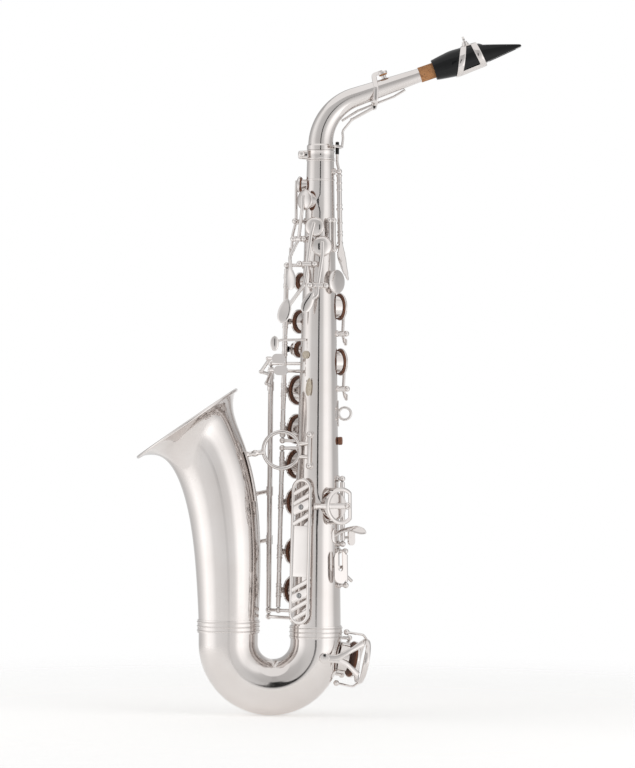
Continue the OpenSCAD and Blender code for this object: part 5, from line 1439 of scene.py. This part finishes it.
class SAX_OT_mouthpiece(bpy.types.Operator):
    """Shapes the mouthpiece: a turned shank and body that two slanted cuts turn into a beak"""
    bl_idname = "sax.mouthpiece"
    bl_label = "Mouthpiece"

    def execute(self, context):
        body = carried(self.body(), mouth_frame())
        piece("mouthpiece_body", [body], "mouthpiece_group", "ebonite", node="mouthpiece")
        return {"FINISHED"}

    def body(self):
        """Rings along X: the least, softly taken, of the turned radius and the distances to the two cuts.

        Softly means a power mean with a high power, which rounds the edges between the cuts. The shank's bore
        comes first, and a smooth dent makes the window in the table.
        """
        at = MOUTH_RINGS[:, None]
        around = np.linspace(0, 2 * np.pi, MOUTH_SIDES, endpoint=False)
        rise = np.sin(around)[None]
        centre = curve(MOUTH_MIDDLE, at)
        top = np.maximum(curve(MOUTH_TOP, at) - centre, TIP_HALF)
        table = np.maximum(curve(MOUTH_TABLE, at) + centre, TIP_HALF)
        reach = (curve(MOUTH_TURNED, at) ** -MOUTH_POWER
                 + (np.maximum(rise, 0) / top) ** MOUTH_POWER
                 + (np.maximum(-rise, 0) / table) ** MOUTH_POWER) ** (-1 / MOUTH_POWER)
        y = reach * np.cos(around)
        z = centre + reach * rise
        start, stop, half, depth = MOUTH_WINDOW
        window = (step(start - WINDOW_NEAR, start + WINDOW_NEAR, at)
                  * (1 - step(stop - WINDOW_FAR, stop + WINDOW_FAR, at)))
        window = window * (1 - step(half - WINDOW_SIDE, half + WINDOW_SIDE, np.abs(y))) * (rise < -0.2)
        z = z + np.minimum(depth, np.maximum(top + table - WINDOW_LEAVES, 0.0)) * window
        outside = np.stack([np.broadcast_to(at, y.shape), y, z], -1)
        run, r = np.array(MOUTH_BORE).T[:, :, None]
        run = np.broadcast_to(run, (len(run), MOUTH_SIDES))
        inside = np.stack([run, r * np.cos(around), r * np.sin(around)], -1)
        tip = np.broadcast_to(outside[-1].mean(0) + np.array([TIP_HALF, 0, 0]), (1, MOUTH_SIDES, 3))
        stack = np.concatenate([inside, outside, tip])
        return stack.reshape(-1, 3), grid_faces(len(stack), MOUTH_SIDES)


# Ligature in millimetres along the mouthpiece: the bands' places under it and at the screw, half sizes and play
BANDS = ((22, 35.5), (49, 45.5))
BAND_WIDE, BAND_THICK, BAND_PLAY = 3.0, 0.55, 0.8
# Power by which the bands lean more towards the screw
BAND_LEAN = 0.85
# Strips that join the bands: from, to, under (-1) or over (1) the mouthpiece, and half width
BAND_STRIPS = ((21, 50, -1, 8.0), (34, 47, 1, 5.0))
STRIP_ROUND_R = 12.5
# The screw's boss: place, radius, and how far it goes into and out of the band
BOSS_AT, BOSS_R, BOSS_IN, BOSS_OUT = 38, 3.4, 0.4, 1.9


class SAX_OT_ligature(bpy.types.Operator):
    """Draws the ligature: two slanting bands that meet at the screw, and a plate under the table"""
    bl_idname = "sax.ligature"
    bl_label = "Ligature"

    def execute(self, context):
        a = np.linspace(0, 2 * np.pi, 96, endpoint=False)
        out = np.stack([np.zeros(96), np.cos(a), np.sin(a)], -1)
        parts = []
        for low, high in BANDS:
            at = low + (high - low) * (0.5 + 0.5 * np.sin(a)) ** BAND_LEAN
            line = at[:, None] * [1, 0, 0] + self.sleeve(at)[:, None] * out
            parts.append(loop(line, BAND_WIDE, BAND_THICK, out))
        parts += [self.strip(*strip) for strip in BAND_STRIPS]
        top = self.sleeve(BOSS_AT)
        parts.append(bar((BOSS_AT, 0, top - BOSS_IN), (BOSS_AT, 0, top + BOSS_OUT), BOSS_R))
        parts = [carried(part, mouth_frame()) for part in parts]
        piece("ligature_bands", parts, "mouthpiece_group", "silver_plate", node="ligature")
        return {"FINISHED"}

    def sleeve(self, at):
        """Radius of the bands' middle: the mouthpiece's, and a little play."""
        return curve(MOUTH_TURNED, at) + BAND_PLAY

    def strip(self, start, stop, way, half):
        """A strip along the mouthpiece, bent round it as a circle."""
        at = np.linspace(start, stop, 24)
        line = np.stack([at, np.zeros(24), way * self.sleeve(at)], -1)
        points, faces = sweep(line, half, BAND_THICK, (0, 1, 0), 0.3, 40)
        sag = STRIP_ROUND_R - np.sqrt(np.maximum(STRIP_ROUND_R ** 2 - points[:, 1] ** 2, 1.0))
        return points - (way * sag)[:, None] * [0, 0, 1], faces


# CAD nodes that aren't silver plate; pads are leather
NODE_SLOTS = {
    "hinge_rods": "steel",
    "guard_screws": "steel",
    "neck_cork": "cork",
    "neck_octave_pad": "cork",
    "mouthpiece": "ebonite",
}


class SAX_OT_finish(bpy.types.Operator):
    """Gives every CAD node its finish"""
    bl_idname = "sax.finish"
    bl_label = "Finish of the CAD nodes"

    def execute(self, context):
        for name, node in frame["nodes"].items():
            slot = NODE_SLOTS.get(name, "pad_leather" if "_pad" in name else "silver_plate")
            node.data.materials.clear()
            node.data.materials.append(finish(slot))
        return {"FINISHED"}


# Middle of the picture in the saxophone's middle plane
TARGET = np.array([-0.0276, 0.0, 0.0293])
# Lamp panels: degrees from the camera, growing to the right, distance, width and height in metres
LAMPS = {"lamp_right": (58, 1.15, 1.1, 1.9), "lamp_left": (-84, 1.2, 1.3, 1.9)}
# Light tent: radius, foot and top from the target
TENT_R, TENT_LOW, TENT_TOP = 2.4, -1.4, 2.4
# Level of the tent's cloth by direction in degrees: 0 is towards the camera, growing to the right
TENT_LEVELS = (
    (-180, 0.64), (-142, 0.53), (-122, 0.66), (-108, 0.82), (-96, 1.05), (-84, 1.22), (-62, 1.04), (-46, 0.76),
    (-10, 0.68), (10, 0.69), (24, 0.78), (38, 1.2), (56, 1.25), (80, 0.95), (96, 0.56), (150, 0.6), (180, 0.64),
)
# Gap that the camera looks through: half width in degrees, middle height, half heights where it is dark and gone
TENT_GAP = 4.0
GAP_Z, GAP_DARK, GAP_GONE = 0.3, 0.4, 0.62
GAP_LEVELS = (0.03, 0.9)
# Light that the floor throws back up: the tent is brighter at the first height than at the second
BOUNCE_HEIGHTS, BOUNCE_LEVELS = (-0.5, 0.7), (1.2, 0.86)
# Level of the surround for matt surfaces
SURROUND_SOFT = 0.45
# Floor: half width, glow of the paper, and distances between which it fades into the surround
FLOOR_HALF, FLOOR_GLOW = 1.6, 0.35
FLOOR_FADE = (0.3, 1.0)
SENSOR_HEIGHT = 24.0
WHITE = (1, 1, 1, 1)


class SAX_OT_stage(bpy.types.Operator):
    """Sets up the floor, the white surround, two lamp panels, the light tent and the camera"""
    bl_idname = "sax.stage"
    bl_label = "Studio"

    def execute(self, context):
        scene = context.scene
        scene.view_settings.view_transform = "Standard"
        self.surround(scene)
        self.floor(scene)
        for name, panel in LAMPS.items():
            self.lamp(scene, name, *panel)
        self.tent(scene)
        self.camera(scene)
        return {"FINISHED"}

    def lamp(self, scene, name, degrees, distance, width, height):
        """A soft panel lamp round the target, whose face glows at the lamp level."""
        light = bpy.data.lights.new(name, "AREA")
        light.shape = "RECTANGLE"
        light.size = width
        light.size_y = height
        light.energy = sizes("sax_studio").lamp * math.pi * width * height
        obj = bpy.data.objects.new(name, light)
        scene.collection.objects.link(obj)
        obj.visible_glossy = False
        azimuth = math.radians(degrees)
        away = Vector((math.sin(azimuth) * distance, -math.cos(azimuth) * distance, 0))
        obj.location = Vector(TARGET.tolist()) + away
        obj.rotation_euler = (-away).to_track_quat("-Z", "Y").to_euler()

    def tent(self, scene):
        """A light tent that only reflections see: bright sides, a greyer front and a dark gap for the camera.

        It is an upright cylinder, and the level of its cloth depends on the direction round it and the height.
        """
        points, faces = lathe(np.array([[TENT_R, TENT_LOW], [TENT_R, TENT_TOP]]), 96)
        points = TARGET + points[:, [1, 2, 0]]
        mesh = bpy.data.meshes.new("light_tent")
        mesh.from_pydata(points.tolist(), [], faces.tolist())
        mesh.materials.append(self.tent_cloth())
        obj = bpy.data.objects.new("light_tent", mesh)
        scene.collection.objects.link(obj)
        obj.visible_camera = False
        obj.visible_diffuse = False
        obj.visible_shadow = False

    def tent_cloth(self):
        """Glowing cloth: a level by direction, dimmed in the camera's gap, times a bounce by height."""
        material = bpy.data.materials.new("tent_cloth")
        material.use_nodes = True
        tree = material.node_tree
        tree.nodes.clear()
        place = add(tree, "ShaderNodeTexCoord").outputs["Object"]
        centred = add(tree, "ShaderNodeMapping", {"vector_type": "POINT"},
                      {"Location": (-float(TARGET[0]), 0, 0)}, {"Vector": place})
        turned = add(tree, "ShaderNodeMapping", values={"Rotation": (0, 0, math.pi / 2)},
                     links={"Vector": centred.outputs["Vector"]})
        direction = add(tree, "ShaderNodeTexGradient", {"gradient_type": "RADIAL"},
                        links={"Vector": turned.outputs["Vector"]})
        ramp = add(tree, "ShaderNodeValToRGB", links={"Fac": direction.outputs["Fac"]})
        stops = ramp.color_ramp.elements
        for degrees, level in TENT_LEVELS:
            stops.new(0.5 + degrees / 360).color = (level, level, level, 1)
        stops.remove(stops[0])
        stops.remove(stops[-1])
        in_gap = add(tree, "ShaderNodeMath", {"operation": "COMPARE"}, {1: 0.5, 2: TENT_GAP / 360},
                     {0: direction.outputs["Fac"]})
        height = add(tree, "ShaderNodeSeparateXYZ", links={"Vector": place})
        off = add(tree, "ShaderNodeMath", {"operation": "SUBTRACT"}, {1: GAP_Z}, {0: height.outputs["Z"]})
        off = add(tree, "ShaderNodeMath", {"operation": "ABSOLUTE"}, links={0: off.outputs[0]})
        gap = add(tree, "ShaderNodeMapRange", {"interpolation_type": "SMOOTHSTEP"},
                  {"From Min": GAP_DARK, "From Max": GAP_GONE, "To Min": GAP_LEVELS[0], "To Max": GAP_LEVELS[1]},
                  {"Value": off.outputs[0]})
        dim = add(tree, "ShaderNodeMix", {"data_type": "FLOAT"}, {2: 1.0},
                  {0: in_gap.outputs[0], 3: gap.outputs["Result"]})
        (low, high), (near, far) = BOUNCE_HEIGHTS, BOUNCE_LEVELS
        bounce = add(tree, "ShaderNodeMapRange",
                     values={"From Min": low, "From Max": high, "To Min": near, "To Max": far},
                     links={"Value": height.outputs["Z"]})
        level = add(tree, "ShaderNodeMath", {"operation": "MULTIPLY"},
                    links={0: dim.outputs[0], 1: bounce.outputs["Result"]})
        glow = add(tree, "ShaderNodeEmission",
                   links={"Color": ramp.outputs["Color"], "Strength": level.outputs[0]})
        add(tree, "ShaderNodeOutputMaterial", links={"Surface": glow.outputs["Emission"]})
        return material

    def surround(self, scene):
        """White for the camera and for reflections, softer for the light that falls on matt surfaces."""
        world = bpy.data.worlds.new("studio_white")
        scene.world = world
        world.use_nodes = True
        tree = world.node_tree
        tree.nodes.clear()
        path = add(tree, "ShaderNodeLightPath")
        seen = add(tree, "ShaderNodeMath", {"operation": "ADD"},
                   links={0: path.outputs["Is Camera Ray"], 1: path.outputs["Is Glossy Ray"]})
        seen = add(tree, "ShaderNodeMath", {"operation": "ADD", "use_clamp": True},
                   links={0: seen.outputs[0], 1: path.outputs["Is Transmission Ray"]})
        soft = add(tree, "ShaderNodeBackground", values={"Color": WHITE, "Strength": SURROUND_SOFT})
        white = add(tree, "ShaderNodeBackground", values={"Color": WHITE, "Strength": 1.0})
        mix = add(tree, "ShaderNodeMixShader",
                  links={0: seen.outputs[0], 1: soft.outputs[0], 2: white.outputs[0]})
        add(tree, "ShaderNodeOutputWorld", links={"Surface": mix.outputs[0]})

    def floor(self, scene):
        """A pale floor under the bow, white to the camera except where the saxophone shades it."""
        corners = [(-FLOOR_HALF, -FLOOR_HALF), (FLOOR_HALF, -FLOOR_HALF),
                   (FLOOR_HALF, FLOOR_HALF), (-FLOOR_HALF, FLOOR_HALF)]
        mesh = bpy.data.meshes.new("floor")
        mesh.from_pydata([(x, y, FLOOR_Z) for x, y in corners], [], [(0, 1, 2, 3)])
        mesh.materials.append(self.paper())
        obj = bpy.data.objects.new("floor", mesh)
        scene.collection.objects.link(obj)

    def paper(self):
        """Matt white paper that glows a little for the camera and reflections, and fades out far off."""
        material, tree, shader, place = new_material("paper_white_matt")
        path = add(tree, "ShaderNodeLightPath")
        seen = add(tree, "ShaderNodeMath", {"operation": "ADD", "use_clamp": True},
                   links={0: path.outputs["Is Camera Ray"], 1: path.outputs["Is Glossy Ray"]})
        level = add(tree, "ShaderNodeMath", {"operation": "MULTIPLY"}, {1: FLOOR_GLOW}, {0: seen.outputs[0]})
        connect(tree, shader, {
            "Base Color": linear(sizes("sax_colours").paper), "Roughness": 0.9, "Emission Color": WHITE,
        }, {"Emission Strength": level.outputs[0]})
        off = add(tree, "ShaderNodeVectorMath", {"operation": "LENGTH"}, links={0: place})
        fade = add(tree, "ShaderNodeMapRange", {"interpolation_type": "SMOOTHSTEP"},
                   {"From Min": FLOOR_FADE[0], "From Max": FLOOR_FADE[1]}, {"Value": off.outputs["Value"]})
        clear = add(tree, "ShaderNodeBsdfTransparent")
        mix = add(tree, "ShaderNodeMixShader",
                  links={0: fade.outputs["Result"], 1: shader.outputs["BSDF"], 2: clear.outputs["BSDF"]})
        out = next(n for n in tree.nodes if n.type == "OUTPUT_MATERIAL")
        tree.links.new(mix.outputs["Shader"], out.inputs["Surface"])
        return material

    def camera(self, scene):
        """A long lens level with the middle of the picture, one millimetre of saxophone to a pixel."""
        studio = sizes("sax_studio")
        camera = bpy.data.cameras.new("camera")
        camera.sensor_fit = "VERTICAL"
        camera.sensor_height = SENSOR_HEIGHT
        camera.lens = camera.sensor_height * studio.distance / (PICTURE_HEIGHT * MM)
        obj = bpy.data.objects.new("camera", camera)
        scene.collection.objects.link(obj)
        obj.location = (TARGET - np.array([0, studio.distance, 0])).tolist()
        obj.rotation_euler = (math.pi / 2, -studio.roll, 0)
        scene.camera = obj


class SAX_PT_panel(bpy.types.Panel):
    """Lists the operators in the 3D view's sidebar"""
    bl_idname = "SAX_PT_panel"
    bl_label = "Saxophone"
    bl_space_type = "VIEW_3D"
    bl_region_type = "UI"
    bl_category = "Saxophone"

    def draw(self, context):
        for operator in OPERATORS:
            self.layout.operator(operator.bl_idname)


GROUPS = {
    "sax_body": SaxBodySizes,
    "sax_neck": SaxNeckSizes,
    "sax_colours": SaxColours,
    "sax_studio": SaxStudio,
}
OPERATORS = (
    SAX_OT_finish, SAX_OT_shells, SAX_OT_pads, SAX_OT_rockers, SAX_OT_octave, SAX_OT_fittings, SAX_OT_brace,
    SAX_OT_guards, SAX_OT_neck_key, SAX_OT_mouthpiece, SAX_OT_ligature, SAX_OT_stage,
)


def register():
    """Adds the property groups to the scene, and then the operators and the panel."""
    for name, group in GROUPS.items():
        bpy.utils.register_class(group)
        setattr(bpy.types.Scene, name, bpy.props.PointerProperty(type=group))
    for cls in (*OPERATORS, SAX_PT_panel):
        bpy.utils.register_class(cls)


def unregister():
    """Takes all of them away again."""
    for cls in (SAX_PT_panel, *reversed(OPERATORS)):
        bpy.utils.unregister_class(cls)
    for name, group in reversed(GROUPS.items()):
        delattr(bpy.types.Scene, name)
        bpy.utils.unregister_class(group)


def main():
    """Registers the classes and runs the operators in order."""
    register()
    bpy.ops.sax.finish()
    bpy.ops.sax.shells()
    bpy.ops.sax.pads()
    bpy.ops.sax.rockers()
    bpy.ops.sax.octave()
    bpy.ops.sax.fittings()
    bpy.ops.sax.brace()
    bpy.ops.sax.guards()
    bpy.ops.sax.neck_key()
    bpy.ops.sax.mouthpiece()
    bpy.ops.sax.ligature()
    bpy.ops.sax.stage()


if __name__ == "__main__":
    main()
